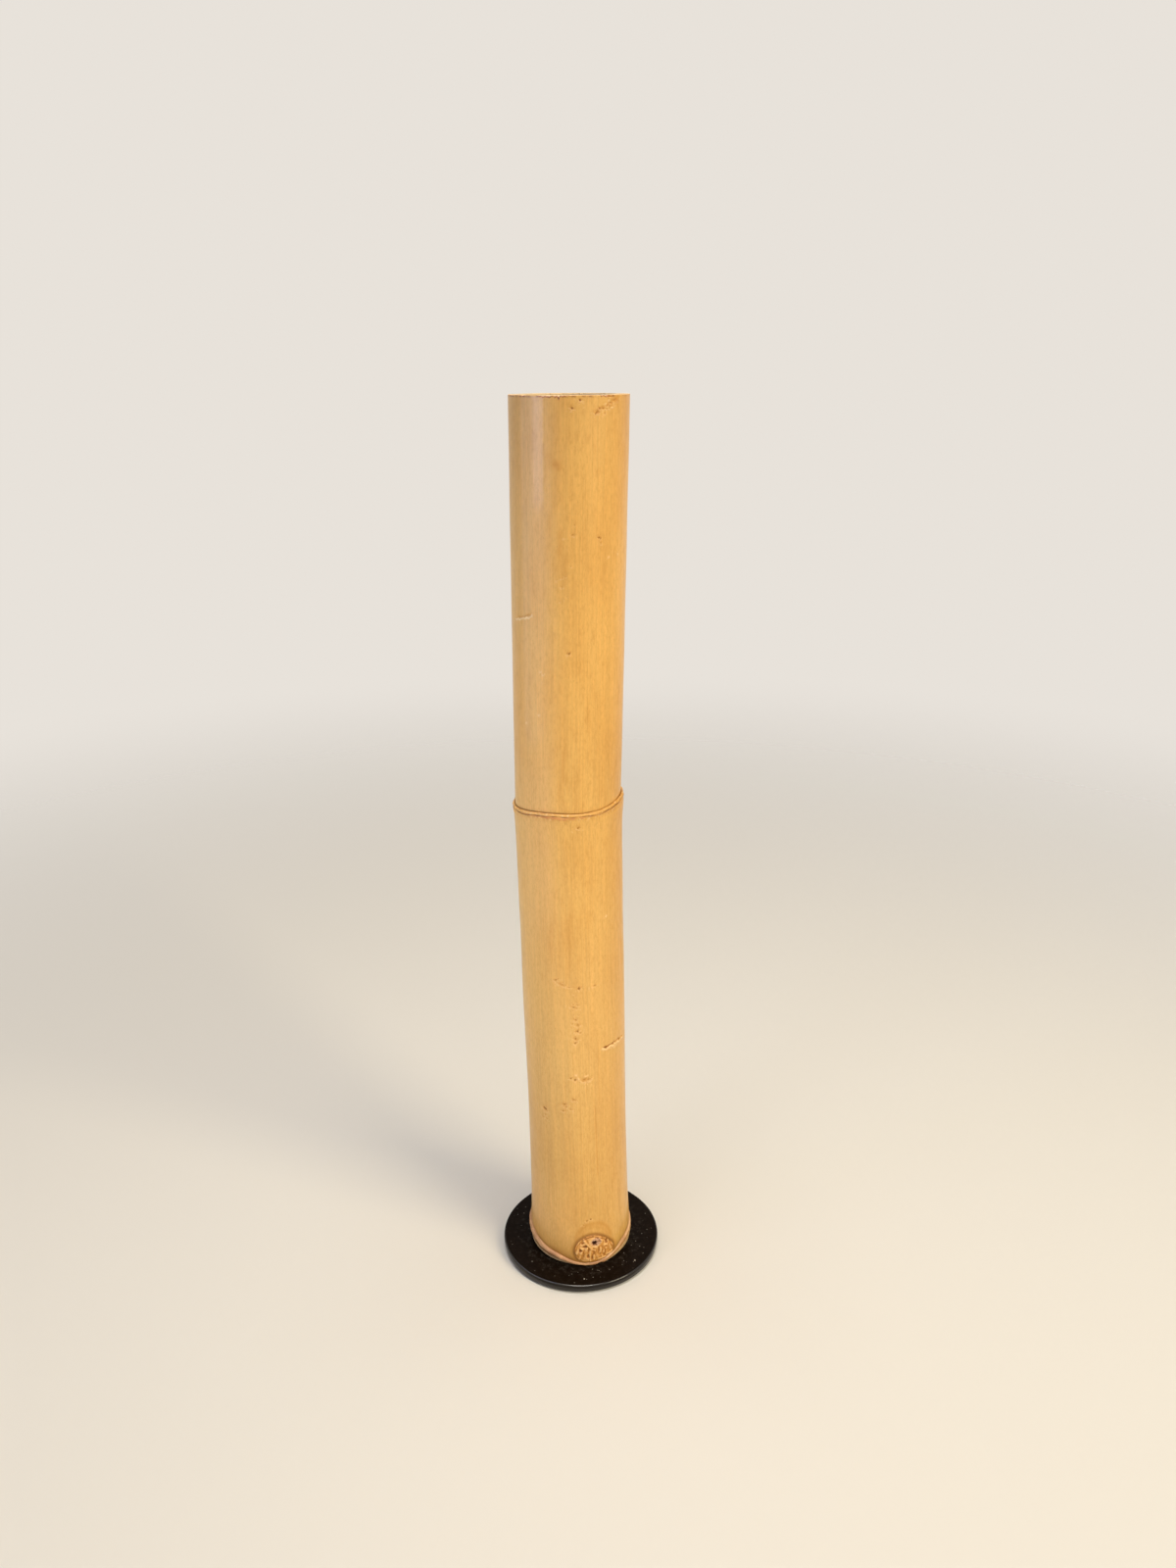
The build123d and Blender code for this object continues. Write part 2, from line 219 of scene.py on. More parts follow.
# Marks on the skin: (side, height, half width, half height, depth, stain); a flake is raised and paler, so
# its last two values are negative
PITS = [
    # Under the rim
    (-79.7, 652.2, 1.0, 0.8, 0.3, 0.9), (-87.2, 647.6, 0.9, 0.8, 0.25, 0.8),
    (-43.6, 651.9, 2.6, 1.2, 0.3, 0.54), (-50.4, 654.4, 1.6, 0.6, 0.25, 0.55),
    (-63.6, 644.9, 1.4, 0.9, 0.3, 0.66), (-60.7, 647.3, 1.0, 0.8, 0.3, 0.66),
    (-56.7, 647.2, 1.0, 0.8, 0.3, 0.6), (-52.4, 648.8, 0.8, 0.7, 0.3, 0.6),
    (-48.5, 650.5, 1.0, 0.7, 0.3, 0.6), (-62.2, 646.4, 0.9, 0.6, -0.2, -0.4),
    (-54.1, 649.6, 1.0, 0.7, -0.25, -0.5), (-50.2, 649.2, 0.8, 0.6, -0.2, -0.4),
    (-46.6, 647.4, 1.2, 0.6, -0.2, -0.6), (-50.8, 651.4, 0.9, 0.6, -0.2, -0.6),
    # On the upper internode and by the node
    (-59.5, 569.9, 0.9, 0.8, 0.3, 0.95), (-57.6, 566.6, 0.7, 0.7, 0.15, 0.5),
    (-85.7, 572.2, 0.7, 0.7, 0.2, 0.7), (-48.3, 556.6, 0.9, 0.8, -0.15, -0.5),
    (-34.6, 557.8, 0.9, 0.9, -0.15, -0.5), (-94.7, 569.5, 1.1, 0.6, -0.1, -0.4),
    (-118.9, 483.1, 0.9, 0.6, -0.15, -0.7), (-116.1, 481.3, 0.9, 0.6, -0.15, -0.7),
    (-121.2, 453.6, 1.0, 0.7, -0.15, -0.7), (-137.8, 446.1, 1.0, 0.7, -0.15, -0.7),
    (-49.1, 304, 1.0, 0.8, -0.2, -0.8), (-89.2, 496.4, 0.9, 0.8, 0.3, 0.85),
    (-79.7, 375.2, 0.9, 0.8, 0.2, 0.75),
    # On the lower internode, from above
    (-83.3, 251.2, 1.3, 0.9, 0.35, 0.85), (-102.4, 254.3, 2.4, 1.0, 0.25, 0.5),
    (-94.7, 252.3, 1.5, 0.5, 0.2, 0.5), (-65.9, 251.9, 1.4, 0.6, 0.25, 0.6),
    (-108.8, 257.5, 1.3, 0.8, 0.3, 0.65), (-89.6, 236, 2.0, 0.7, 0.25, 0.6),
    (-88.1, 225.8, 1.0, 1.0, 0.3, 0.65), (-85.7, 221.4, 1.3, 1.0, 0.3, 0.6),
    (-86.5, 216.5, 1.3, 1.1, 0.35, 0.72), (-83.4, 214.9, 0.9, 0.7, 0.2, 0.6),
    (-88.7, 210.1, 1.3, 1.1, 0.35, 0.72), (-89.1, 206.4, 1.0, 0.9, 0.3, 0.7),
    (-80.2, 174.6, 2.2, 1.5, 0.4, 0.58), (-75.4, 174.3, 1.7, 0.8, 0.3, 0.58),
    (-90.8, 174.9, 1.0, 0.9, 0.35, 0.8), (-95.3, 176.2, 1.0, 0.8, 0.25, 0.7),
    (-89.3, 178.6, 1.1, 0.8, -0.25, -0.7), (-86.8, 175.6, 0.9, 0.8, -0.25, -0.7),
    (-78.1, 177.6, 1.5, 0.6, -0.25, -0.7), (-74.1, 172.4, 1.3, 0.6, -0.2, -0.6),
    (-80.3, 172, 1.6, 0.6, -0.2, -0.6), (-50.7, 196.4, 2.2, 0.7, -0.25, -0.7),
    (-38.6, 194.9, 2.6, 0.7, -0.25, -0.6), (-129.5, 144.2, 1.8, 1.3, 0.5, 0.85),
    (-129.3, 139, 0.9, 0.7, 0.2, 0.6), (-127.4, 135.9, 0.9, 0.6, 0.2, 0.5),
    (-132.9, 135.8, 0.9, 0.6, 0.2, 0.5), (-103.8, 152.9, 1.3, 1.2, 0.35, 0.7),
    (-101.8, 151, 1.0, 0.8, 0.25, 0.6), (-92.8, 157.5, 1.3, 0.8, 0.25, 0.6),
    (-106.1, 146.9, 1.0, 0.8, 0.25, 0.65), (-96.5, 148.8, 1.2, 0.7, 0.2, 0.5),
    # Over the foot scar
    (-81.8, 47.4, 0.8, 0.7, 0.2, 0.8), (-77.1, 48.6, 0.8, 0.7, 0.2, 0.8),
    (-86, 43.5, 0.6, 0.5, 0.15, 0.5),
    # At the back
    (62, 598, 1.0, 0.9, 0.3, 0.8), (128, 541, 1.4, 0.8, 0.3, 0.7),
    (21, 462, 0.9, 0.9, 0.25, 0.8), (84, 318, 1.2, 0.9, 0.3, 0.8),
    (38, 228, 1.5, 0.8, 0.35, 0.7), (152, 190, 1.1, 0.9, 0.3, 0.7),
    (101, 96, 1.0, 1.2, 0.3, 0.8),
]

# Stains without depth: (side, height, half width, half height, stain)
STAINS = [
    (-103.2, 614.6, 3.4, 2.0, 0.52), (-98.3, 612.8, 1.4, 1.0, 0.72), (-58.5, 610.7, 4.5, 0.6, 0.32),
    (-98.1, 565.7, 2.2, 9.0, 0.24), (-82, 580.4, 1.3, 5.5, 0.26), (-108, 573, 1.2, 9.0, 0.22),
    (-94.5, 424, 1.6, 16, 0.3), (-97, 400, 2.2, 12, 0.22), (-100, 290, 15, 26, 0.26),
    (-80, 300, 8.0, 16, 0.16), (-100, 556, 6.0, 18, 0.16), (-20.8, 266, 1.2, 45, 0.3),
    (-41, 652, 4.0, 2.2, 0.55), (-50, 649.6, 3.0, 1.5, 0.5), (-57, 647.6, 2.6, 1.4, 0.5),
    (-62.5, 645.5, 2.6, 1.6, 0.54), (60, 500, 12, 30, 0.18), (140, 250, 14, 26, 0.18),
    (20, 120, 9.0, 22, 0.15), (-78, 174.8, 2.8, 1.4, 0.5), (-103.5, 151.5, 1.8, 2.4, 0.36),
    (-103, 254.5, 2.2, 1.2, 0.36), (-92, 252.6, 3.0, 0.9, 0.28),
]

# Cracks and scratches: (side, height, side, height, half width, depth, stain, raised edge)
CRACKS = [
    (-55.7, 198.4, -41.2, 198.2, 0.62, 0.6, 1.0, 0.4),
    (-40, 199, -22, 197.6, 0.55, 0.45, 0.85, 0.35),
    (-153.9, 515.8, -129.8, 520.5, 0.5, 0.25, 0.5, 0.4),
    (-70.1, 466.6, -69.6, 442.5, 0.35, 0.05, 0.3, 0.0),
    (-53.9, 488.9, -53.5, 476, 0.35, 0.05, 0.3, 0.0),
    (-68, 149, -67.2, 88, 0.35, 0.12, 0.5, 0.0),
    (-63.5, 205, -63, 150, 0.3, 0.08, 0.35, 0.0),
    (118, 470, 121, 440, 0.3, 0.1, 0.4, 0.0),
    (48, 346, 66, 349, 0.45, 0.3, 0.6, 0.3),
]

# The raised edge of a mark: its distance and width, in sizes of the pit or half widths of the crack
PIT_EDGE = 1.7
PIT_EDGE_WIDTH = 0.5
CRACK_EDGE = 2.3
CRACK_EDGE_WIDTH = 1.3

# Trails of small pits: (side, height, side, height, spread across, spread up, count, size, stain)
TRAILS = [
    (-90, 238, -88, 208, 1.4, 1.0, 9, 0.55, 0.5),
    (-86.5, 247, -89, 232, 2.4, 2.0, 9, 0.5, 0.4),
    (-110, 258, -84, 251.5, 1.5, 1.0, 10, 0.5, 0.45),
    (-66, 643.6, -40, 650.6, 0.9, 1.0, 12, 0.5, 0.5),
    (-108, 148, -94, 156, 1.8, 1.6, 10, 0.5, 0.4),
    (-102, 533, -86, 566, 3.0, 6.0, 10, 0.55, 0.35),
    (132, 604, 126, 570, 1.6, 1.5, 11, 0.6, 0.6),
    (58, 168, 74, 171, 0.8, 1.0, 12, 0.7, 0.6),
]
TRAIL_DEPTH = 0.35
TRAIL_SEED = 7

# Torn stretches of the rim: (first side, last side, depth), and the broken dark line under its edge
RIM_CHIPS = [
    (-119, -106, 0.8), (-104, -95, 1.1), (-160, -152, 0.5), (-139, -134, 0.3),
    (-60, -52, 0.45), (30, 44, 0.6), (150, 158, 0.5),
]
RIM_LINE_DROP = 0.7
RIM_LINE_WIDTH = 0.55
RIM_LINE_STRENGTH = 0.95
RIM_LINE_SIDE = -115.0
RIM_LINE_REACH = (105, 70)  # turns from that side where it starts and where it is full

# Stage, light and camera, with places in metres
FLOOR_COLOUR = (0.805, 0.76, 0.702)
WORLD_LIGHT = 0.28
FLOOR_FADE = (0.45, 1.9)
CAMERA_PLACE = (0.0, -0.7752, 0.669)
CAMERA_PITCH = 19.56
CAMERA_YAW = 0.59
CAMERA_ROLL = -0.34
FOCAL_PIXELS = 1188.0
IMAGE_HEIGHT = 1600.0
SENSOR = 36.0


# Shapes on the culm
def smooth_line(knots, places):
    """A smooth curve through (place, value) knots."""
    knot_places, knot_values = np.array(knots, float).T
    slopes = np.gradient(knot_values, knot_places)
    places = np.clip(places, knot_places[0], knot_places[-1])
    i = np.clip(np.searchsorted(knot_places, places) - 1, 0, len(knots) - 2)
    width = knot_places[i + 1] - knot_places[i]
    t = (places - knot_places[i]) / width
    start = knot_values[i] * (1 + 2 * t) * (1 - t) ** 2 + slopes[i] * width * t * (1 - t) ** 2
    end = knot_values[i + 1] * (3 - 2 * t) * t**2 + slopes[i + 1] * width * (t - 1) * t**2
    return start + end


def smooth_step(low, high, values):
    """0 below the low value and 1 above the high one, or the other way round if low is the larger."""
    t = np.clip((values - low) / (high - low), 0, 1)
    return t * t * (3 - 2 * t)


def bell(values, width):
    """1 where the values are 0, falling off smoothly to both sides over about a width."""
    return np.exp(-((values / width) ** 2))


def turn_from(side, centre):
    """The turn from a centre to a side, from -180 to 180."""
    return (side - centre + 180) % 360 - 180


def across_from(side, centre, radius):
    """The distance along the skin from a centre to a side."""
    return np.radians(turn_from(side, centre)) * radius


def ripple(side, height, seed, turns, length=1.0):
    """A smooth random field, about -1 to 1: up to `turns` waves round the culm, `length` tall or more."""
    draw = np.random.default_rng(seed)
    field = np.zeros_like(side)
    for _ in range(RIPPLE_WAVES):
        around = draw.integers(-turns, turns + 1)
        along = draw.uniform(-1, 1) / length
        field += np.cos(np.radians(around * side) + 2 * pi * along * height + draw.uniform(0, 2 * pi))
    return field / sqrt(RIPPLE_WAVES)


def axis_shift(height):
    """How far the culm's axis stands to the right at a height."""
    return np.where(height < NODE, LOWER_LEAN * (height - FOOT), NODE_SHIFT + UPPER_LEAN * (height - NODE))


def culm_points(side, radius, height, straight=False):
    """Points about the culm's axis or, for its grain, about a straight one."""
    angle = np.radians(side)
    shift = 0 if straight else axis_shift(height)
    return np.stack([shift + radius * np.cos(angle), radius * np.sin(angle), height], axis=-1)


def ring_lift(side):
    """How far the middle node's ring stands above its mean level."""
    angle = np.radians(side)
    return RING_TILT * np.cos(angle) + RING_WAVE * np.cos(3 * angle)


def crease_strength(side):
    """How dark the painted shade in the groove above the middle node's ridge is: fainter towards the right.
    """
    fainter = 0.45 * smooth_step(*CREASE_FADE, turn_from(side, CREASE_SIDE))
    return np.clip(1 - fainter + 0.3 * ripple(side, 0, 63, 24), 0.2, 1)


def lip_level(side):
    """The height of the sheath lip's middle."""
    return smooth_line([(turn, level) for turn, level, _ in LIP_LEVELS], turn_from(side, LIP_LOW_SIDE))


def lip_half(side):
    """Half the height of the sheath lip."""
    return smooth_line([(turn, half) for turn, _, half in LIP_LEVELS], turn_from(side, LIP_LOW_SIDE))


def scar_distance(scar, side, height, radius):
    """The distance outside a branch scar's outline on the skin, which is negative within it."""
    across = across_from(side, scar["side"], radius)
    up = height - scar["height"]
    lobes = [np.hypot(across - s, up - t) - r for s, t, r in scar["lobes"]]
    return -np.log(sum(np.exp(-lobe) for lobe in lobes))


def outline_radius(side, height, outside):
    """The culm's radius along its outline, a little oval."""
    return smooth_line(outside, height) / 2 + OVAL * np.cos(2 * np.radians(side + OVAL_TURN))


def skin_radius(side, height, outside, seed):
    """The culm's radius before its marks: dented, swollen round the scars and cut away under them."""
    radius = outline_radius(side, height, outside) + DENTS * ripple(side, height, seed, 5, 60)
    for scar in (FOOT_SCAR, NODE_SCAR):
        away = scar_distance(scar, side, height, radius)
        swell = SCAR_SWELL * bell(np.clip(away, 0, None), SCAR_SWELL_REACH)
        radius = radius + swell - SCAR_RECESS * smooth_step(*SCAR_RECESS_EDGE, away)
    return radius


def all_pits():
    """The pits that are listed and those that the trails scatter."""
    pits = list(PITS)
    draw = np.random.default_rng(TRAIL_SEED)
    for side, height, last_side, last_height, across, up, count, size, stain in TRAILS:
        for t in np.linspace(0, 1, count):
            at_side = side + t * (last_side - side) + degrees(draw.normal(0, across) / NECK_RADIUS)
            at_height = height + t * (last_height - height) + draw.normal(0, up)
            wide = size * draw.uniform(0.5, 1.3)
            tall = wide * draw.uniform(0.7, 1.2)
            pits.append((at_side, at_height, wide, tall, TRAIL_DEPTH * wide, stain))
    return pits


ALL_PITS = all_pits()


def weathered(side, height, radius):
    """What the marks do to the skin: how far it moves outwards, how stained it is, and how scuffed pale."""
    move, stain, pale = (np.zeros_like(side) for _ in range(3))
    rough = 0.32 * ripple(side, height, 11, 130, 1.8)
    wobble = 0.6 * ripple(side, height, 17, 70, 5.0)
    blotches = 0.9 + 0.6 * ripple(side, height, 23, 90, 24)
    for at_side, at_height, wide, tall, depth, strength in ALL_PITS:
        across = across_from(side, at_side, radius)
        slant = 0.3 * sin(at_side + at_height)  # as good as random from pit to pit
        up = height - at_height + slant * across
        away = np.sqrt((across / wide) ** 2 + (up / tall) ** 2) * (1 + rough)
        pit = bell(away, 1)
        edge = bell(away - PIT_EDGE, PIT_EDGE_WIDTH) * smooth_step(0.4, -0.8, up / tall)
        move += depth * (0.3 * edge - pit)
        stain = np.maximum(stain, min(1.2 * strength, 1) * pit)
        pale = np.maximum(pale, np.maximum(0.35 * edge * (strength > 0), -strength * pit))
    for at_side, at_height, wide, tall, strength in STAINS:
        across = across_from(side, at_side, radius)
        away = np.sqrt((across / wide) ** 2 + ((height - at_height) / tall) ** 2)
        stain = np.maximum(stain, strength * np.clip(bell(away, 1) * blotches, 0, 1))
    for first_side, first_height, last_side, last_height, wide, depth, strength, raised in CRACKS:
        across = across_from(side, first_side, radius)
        up = height - first_height
        run_across, run_up = radians(last_side - first_side) * NECK_RADIUS, last_height - first_height
        length = sqrt(run_across**2 + run_up**2)
        t = np.clip((across * run_across + up * run_up) / length**2, 0, 1)
        off = np.hypot(across - t * run_across, up - t * run_up + (raised > 0) * wobble)
        below = smooth_step(0.3, -0.3, (up * run_across - across * run_up) / length)
        groove = bell(off, wide * (1 + 0.5 * rough))
        edge = bell(off - CRACK_EDGE * wide, CRACK_EDGE_WIDTH * wide) * below
        move += raised * edge - depth * groove
        stain = np.maximum(stain, strength * groove)
        pale = np.maximum(pale, (raised > 0) * edge)
    return move, stain, pale


# Mesh building
def linked(name, data):
    """A new object with its data, linked to the scene."""
    piece = bpy.data.objects.new(name, data)
    bpy.context.scene.collection.objects.link(piece)
    return piece


def new_points(made, count):
    """New points of a bmesh, which finish_mesh places."""
    return [made.verts.new((0, 0, 0)) for _ in range(count)]


def join_rings(made, low, high):
    """Four-sided faces between two closed rings of points."""
    for i in range(len(low)):
        j = (i + 1) % len(low)
        made.faces.new((low[i], low[j], high[j], high[i]))


def close_ring(made, hub, ring):
    """Three-sided faces between a closed ring of points and its hub."""
    for i in range(len(ring)):
        made.faces.new((hub, ring[i], ring[(i + 1) % len(ring)]))


def finish_mesh(name, made, points, values, material, sharp=50):
    """A smooth object from a bmesh, with its points placed, in millimetres, and the values stored on them."""
    for vert, point in zip(made.verts, points):
        vert.co = Vector(point) * MM
    bmesh.ops.recalc_face_normals(made, faces=made.faces)
    mesh = bpy.data.meshes.new(name)
    made.to_mesh(mesh)
    made.free()
    for key, value in values.items():
        kind, item = ("FLOAT_VECTOR", "vector") if value.ndim == 2 else ("FLOAT", "value")
        stored = mesh.attributes.new(key, kind, "POINT")
        stored.data.foreach_set(item, value.astype(np.float32).ravel())
    mesh.shade_smooth()
    mesh.set_sharp_from_angle(angle=radians(sharp))
    mesh.materials.append(material)
    return linked(name, mesh)


def mark_zones():
    """Boxes on the skin that are meshed finer, as (side, height, half turn, half height)."""
    zones = []
    for side, height, wide, tall, *_ in ALL_PITS:
        zones.append((side, height, degrees(PIT_ZONE * wide / NECK_RADIUS), PIT_ZONE * tall))
    for side, height, last_side, last_height, wide, *_ in CRACKS:
        spare = CRACK_ZONE * wide
        turn = abs(last_side - side) / 2 + degrees(spare / NECK_RADIUS)
        tall = abs(last_height - height) / 2 + spare
        zones.append(((side + last_side) / 2, (height + last_height) / 2, turn, tall))
    for side, last_side, depth in RIM_CHIPS:
        zones.append(((side + last_side) / 2, RIM, (last_side - side) / 2 + 2, 2 * depth))
    return zones


def turned_grid(rows):
    """A flat grid of sides by row numbers, closed round the culm and at both ends on its axis."""
    made = bmesh.new()
    sides = SEAM + np.arange(COLUMNS) * 360 / COLUMNS
    last = len(rows) - 1
    start = made.verts.new((SEAM, 0, 0))
    end = made.verts.new((SEAM, last, 0))
    rings = [[made.verts.new((side, row, 0)) for side in sides] for row in range(1, last)]
    for low, high in zip(rings, rings[1:]):
        join_rings(made, low, high)
    close_ring(made, start, rings[0])
    close_ring(made, end, rings[-1])
    return made


def refine(made, rows, zones, cuts):
    """Cuts the faces of the skin within the zones finer."""
    width = 2.5 * 360 / COLUMNS
    numbers = np.arange(len(rows))
    for _ in range(cuts):
        chosen = set()
        faces = [face for face in made.faces if len(face.verts) == 4]
        corners = np.array([[vert.co[:2] for vert in face.verts] for face in faces])
        off_seam = np.ptp(corners[:, :, 0], axis=1) < width
        sides, places = corners.mean(axis=1).T
        on_skin = np.interp(places, numbers, rows[:, 0]) > 0.99
        heights = np.interp(places, numbers, rows[:, 2])
        for side, height, turn, tall in zones:
            beside = np.abs(turn_from(sides, side)) < turn
            level = np.abs(heights - height) < tall + PLAIN_STEP / 2
            chosen.update(np.nonzero(beside & level & off_seam & on_skin)[0])
        edges = {edge for i in chosen for edge in faces[i].edges}
        bmesh.ops.subdivide_edges(made, edges=list(edges), cuts=1, use_grid_fill=True)


# Rows of the culm, each (on the skin or not, inset from the skin or radius, level, share of the ring's lift)
def levels_between(low, high, step):
    """Even levels from low to high, about a step apart."""
    return np.linspace(low, high, max(2, round(abs(high - low) / step) + 1))


def levels_along(start, *stretches):
    """Levels from a start through stretches of (end, step)."""
    levels = [np.array([start])]
    for end, step in stretches:
        levels.append(levels_between(start, end, step)[1:])
        start = end
    return np.concatenate(levels)


def skin_rows(levels):
    """Rows on the skin, which follow the ring's lift near the middle node."""
    lifts = 1 - smooth_step(6, RING_REACH, np.abs(levels - NODE))
    return [(1, 0.0, level, lift) for level, lift in zip(levels, lifts)]


def inside_rows(path, step=12.0):
    """Rows inside the culm along (radius, height) corners."""
    rows = []
    for (r0, h0), (r1, h1) in zip(path, path[1:]):
        for t in levels_between(0, 1, step / max(1e-6, np.hypot(r1 - r0, h1 - h0)))[:-1]:
            rows.append((0, r0 + t * (r1 - r0), h0 + t * (h1 - h0), 0))
    return rows + [(0, *path[-1], 0)]


def corner_path(radius, level, up):
    """The rounded corner between a bore's wall and its end, from the wall inwards."""
    steps = np.radians(np.linspace(0, 90, 7))
    return [(radius - CORNER_RADIUS * (1 - cos(a)), level + up * CORNER_RADIUS * (1 - sin(a))) for a in steps]


def node_cap(level):
    """Rows from the axis outwards that close a piece of the culm inside the middle node."""
    return [(0, radius, level, lift) for radius, lift in ((0.0, 0), (12.0, 0.3), (24.0, 0.6), (33.0, 0.9))]


def ridge_rows():
    """Rows over the middle node's ridge, along a smooth curve through its section."""
    knots = np.arange(len(RIDGE_SECTION))
    fine = np.linspace(0, len(knots) - 1, 4 * len(knots) - 3)
    columns = np.array(RIDGE_SECTION).T
    stand_out, drop = (smooth_line(np.stack([knots, column], axis=1), fine) for column in columns)
    return [(0, NECK_RADIUS + out, NODE - down, 1) for out, down in zip(stand_out, drop)]


def upper_rows():
    """Rows from inside the node up the skin, over the rim and down the bore to its floor."""
    bottom = NODE - UPPER_TUCK
    floor = NODE + DIAPHRAGM / 2
    rows = node_cap(bottom)
    rows += skin_rows(levels_along(
        bottom, (NODE + 6, EDGE_STEP), (NODE + NODE_FINE, FINE_STEP), (RIM - RIM_FINE, PLAIN_STEP),
        (RIM - 0.6, EDGE_STEP)
    ))
    edge = np.radians(np.linspace(0, 90, 5))
    rows += [(1, RIM_EDGE * (1 - cos(a)), RIM - RIM_EDGE * (1 - sin(a)), 0) for a in edge]
    rows += [(1, inset, RIM, 0) for inset in (1.2, 2.2, 3.4, 4.8, 6.2)]
    mouth = ((RIM_EDGE, 0), (0.12, 0.12), (0, RIM_EDGE))
    rows += [(0, BORE_RADIUS + out, RIM - down, 0) for out, down in mouth]
    rows += inside_rows([(BORE_RADIUS, RIM - 2), (BORE_RADIUS, floor + CORNER_RADIUS)])[:-1]
    rows += inside_rows(corner_path(BORE_RADIUS, floor, 1) + [(0, floor)], step=9.0)
    return np.array(rows, float)


def lower_rows():
    """Rows over the node's ridge, down the skin to the sawn foot, and up the socket and the hollow."""
    rows = node_cap(NODE - LOWER_TUCK) + ridge_rows()
    rows += skin_rows(levels_along(
        NODE - RIDGE_SECTION[-1][1] - 0.6, (NODE - NODE_FINE, FINE_STEP), (FOOT_FINE_LEVEL, PLAIN_STEP),
        (FOOT + 6, FINE_STEP), (FOOT + 0.5, FOOT_STEP)
    ))
    rows += [(1, inset, FOOT + up, 0) for inset, up in ((0.1, 0.15), (0.35, 0), (4.0, 0))]
    ceiling, floor, top = FOOT + SOCKET_DEPTH, FOOT + SOCKET_DEPTH + DIAPHRAGM, NODE - DIAPHRAGM / 2
    socket = HOLLOW_RADIUS + SOCKET_SPARE
    path = [(socket, FOOT), (socket, ceiling), (VENT_RADIUS, ceiling), (VENT_RADIUS, floor)]
    path += corner_path(HOLLOW_RADIUS, floor, 1)[::-1] + corner_path(HOLLOW_RADIUS, top, -1) + [(0, top)]
    rows += inside_rows(path, step=40.0)
    return np.array(rows, float)


def culm_grid(rows):
    """A mesh of the rows, finer at the marks, with each point's side, row number and values from the rows."""
    made = turned_grid(rows)
    refine(made, rows, mark_zones(), cuts=2)
    side, row = np.array([vert.co[:2] for vert in made.verts]).T
    return made, side, row, [np.interp(row, np.arange(len(rows)), column) for column in rows.T]


def culm_piece(name, made, side, radius, height, shares, material):
    """A piece of the culm, with its place in straight grain and its share of each finish on its points."""
    values = {"grain": culm_points(side, radius, height, straight=True), **shares}
    return finish_mesh(name, made, culm_points(side, radius, height), values, material)


# Pieces
def torn_rim(side, radius, height, outer):
    """The radius and height with the rim's torn stretches cut in, and how torn its edge is."""
    torn = np.zeros_like(side)
    ragged = np.clip(0.8 + 0.5 * ripple(side, 0, 31, 120), 0.15, 1.8)
    for first, final, depth in RIM_CHIPS:
        middle, half = (first + final) / 2, (final - first) / 2
        along = smooth_step(1.15, 0.75, np.abs(turn_from(side, middle)) / half)
        reach = along * ragged * depth
        near = smooth_step(RIM - 0.3 - 1.1 * reach, RIM - 0.2 - 0.4 * reach, height) * outer
        tinted = smooth_step(RIM - 0.5 - 1.6 * reach, RIM - 0.4 - 1.1 * reach, height) * outer
        radius = radius - 0.5 * reach * near
        height = height - 0.6 * reach * near
        torn = np.maximum(torn, tinted * along)
    line = bell(RIM - RIM_LINE_DROP - height, RIM_LINE_WIDTH) * outer
    line *= np.clip(0.55 + 0.6 * ripple(side, 0, 33, 80), 0, 1)
    line_reach = smooth_step(*RIM_LINE_REACH, np.abs(turn_from(side, RIM_LINE_SIDE)))
    return radius, height, np.maximum(torn, RIM_LINE_STRENGTH * line * line_reach)


def upper_culm(material):
    """The upper internode, closed inside the node, with its rim and bore."""
    made, side, _, (skin, value, level, lift) = culm_grid(upper_rows())
    height = level + lift * ring_lift(side)
    outside = skin_radius(side, height, UPPER_OUTSIDE, 3)
    move, stain, pale = weathered(side, height, outside)
    on_skin = smooth_step(0.5, 1, skin)
    outer = on_skin * smooth_step(3.2, 0.0, value)
    radius = np.where(skin > 0.5, outside - value + outer * move, value)
    radius, height, torn = torn_rim(side, radius, height, outer)
    above_crease = height - NODE - ring_lift(side)
    shares = {
        "stain": stain,
        "pale": pale,
        "sheath": np.zeros_like(side),
        "torn": torn,
        "sawn": np.clip(smooth_step(0.0, RIM_EDGE, value) * on_skin + (1 - skin) * (level > RIM - 1), 0, 1),
        "bore": (1 - skin) * (level <= RIM - 1),
        # painted shade in the groove over the middle node's ridge
        "crease_shade": bell(above_crease - 0.1, CREASE_WIDTH) * on_skin * crease_strength(side),
    }
    return culm_piece("culm_upper", made, side, radius, height, shares, material)


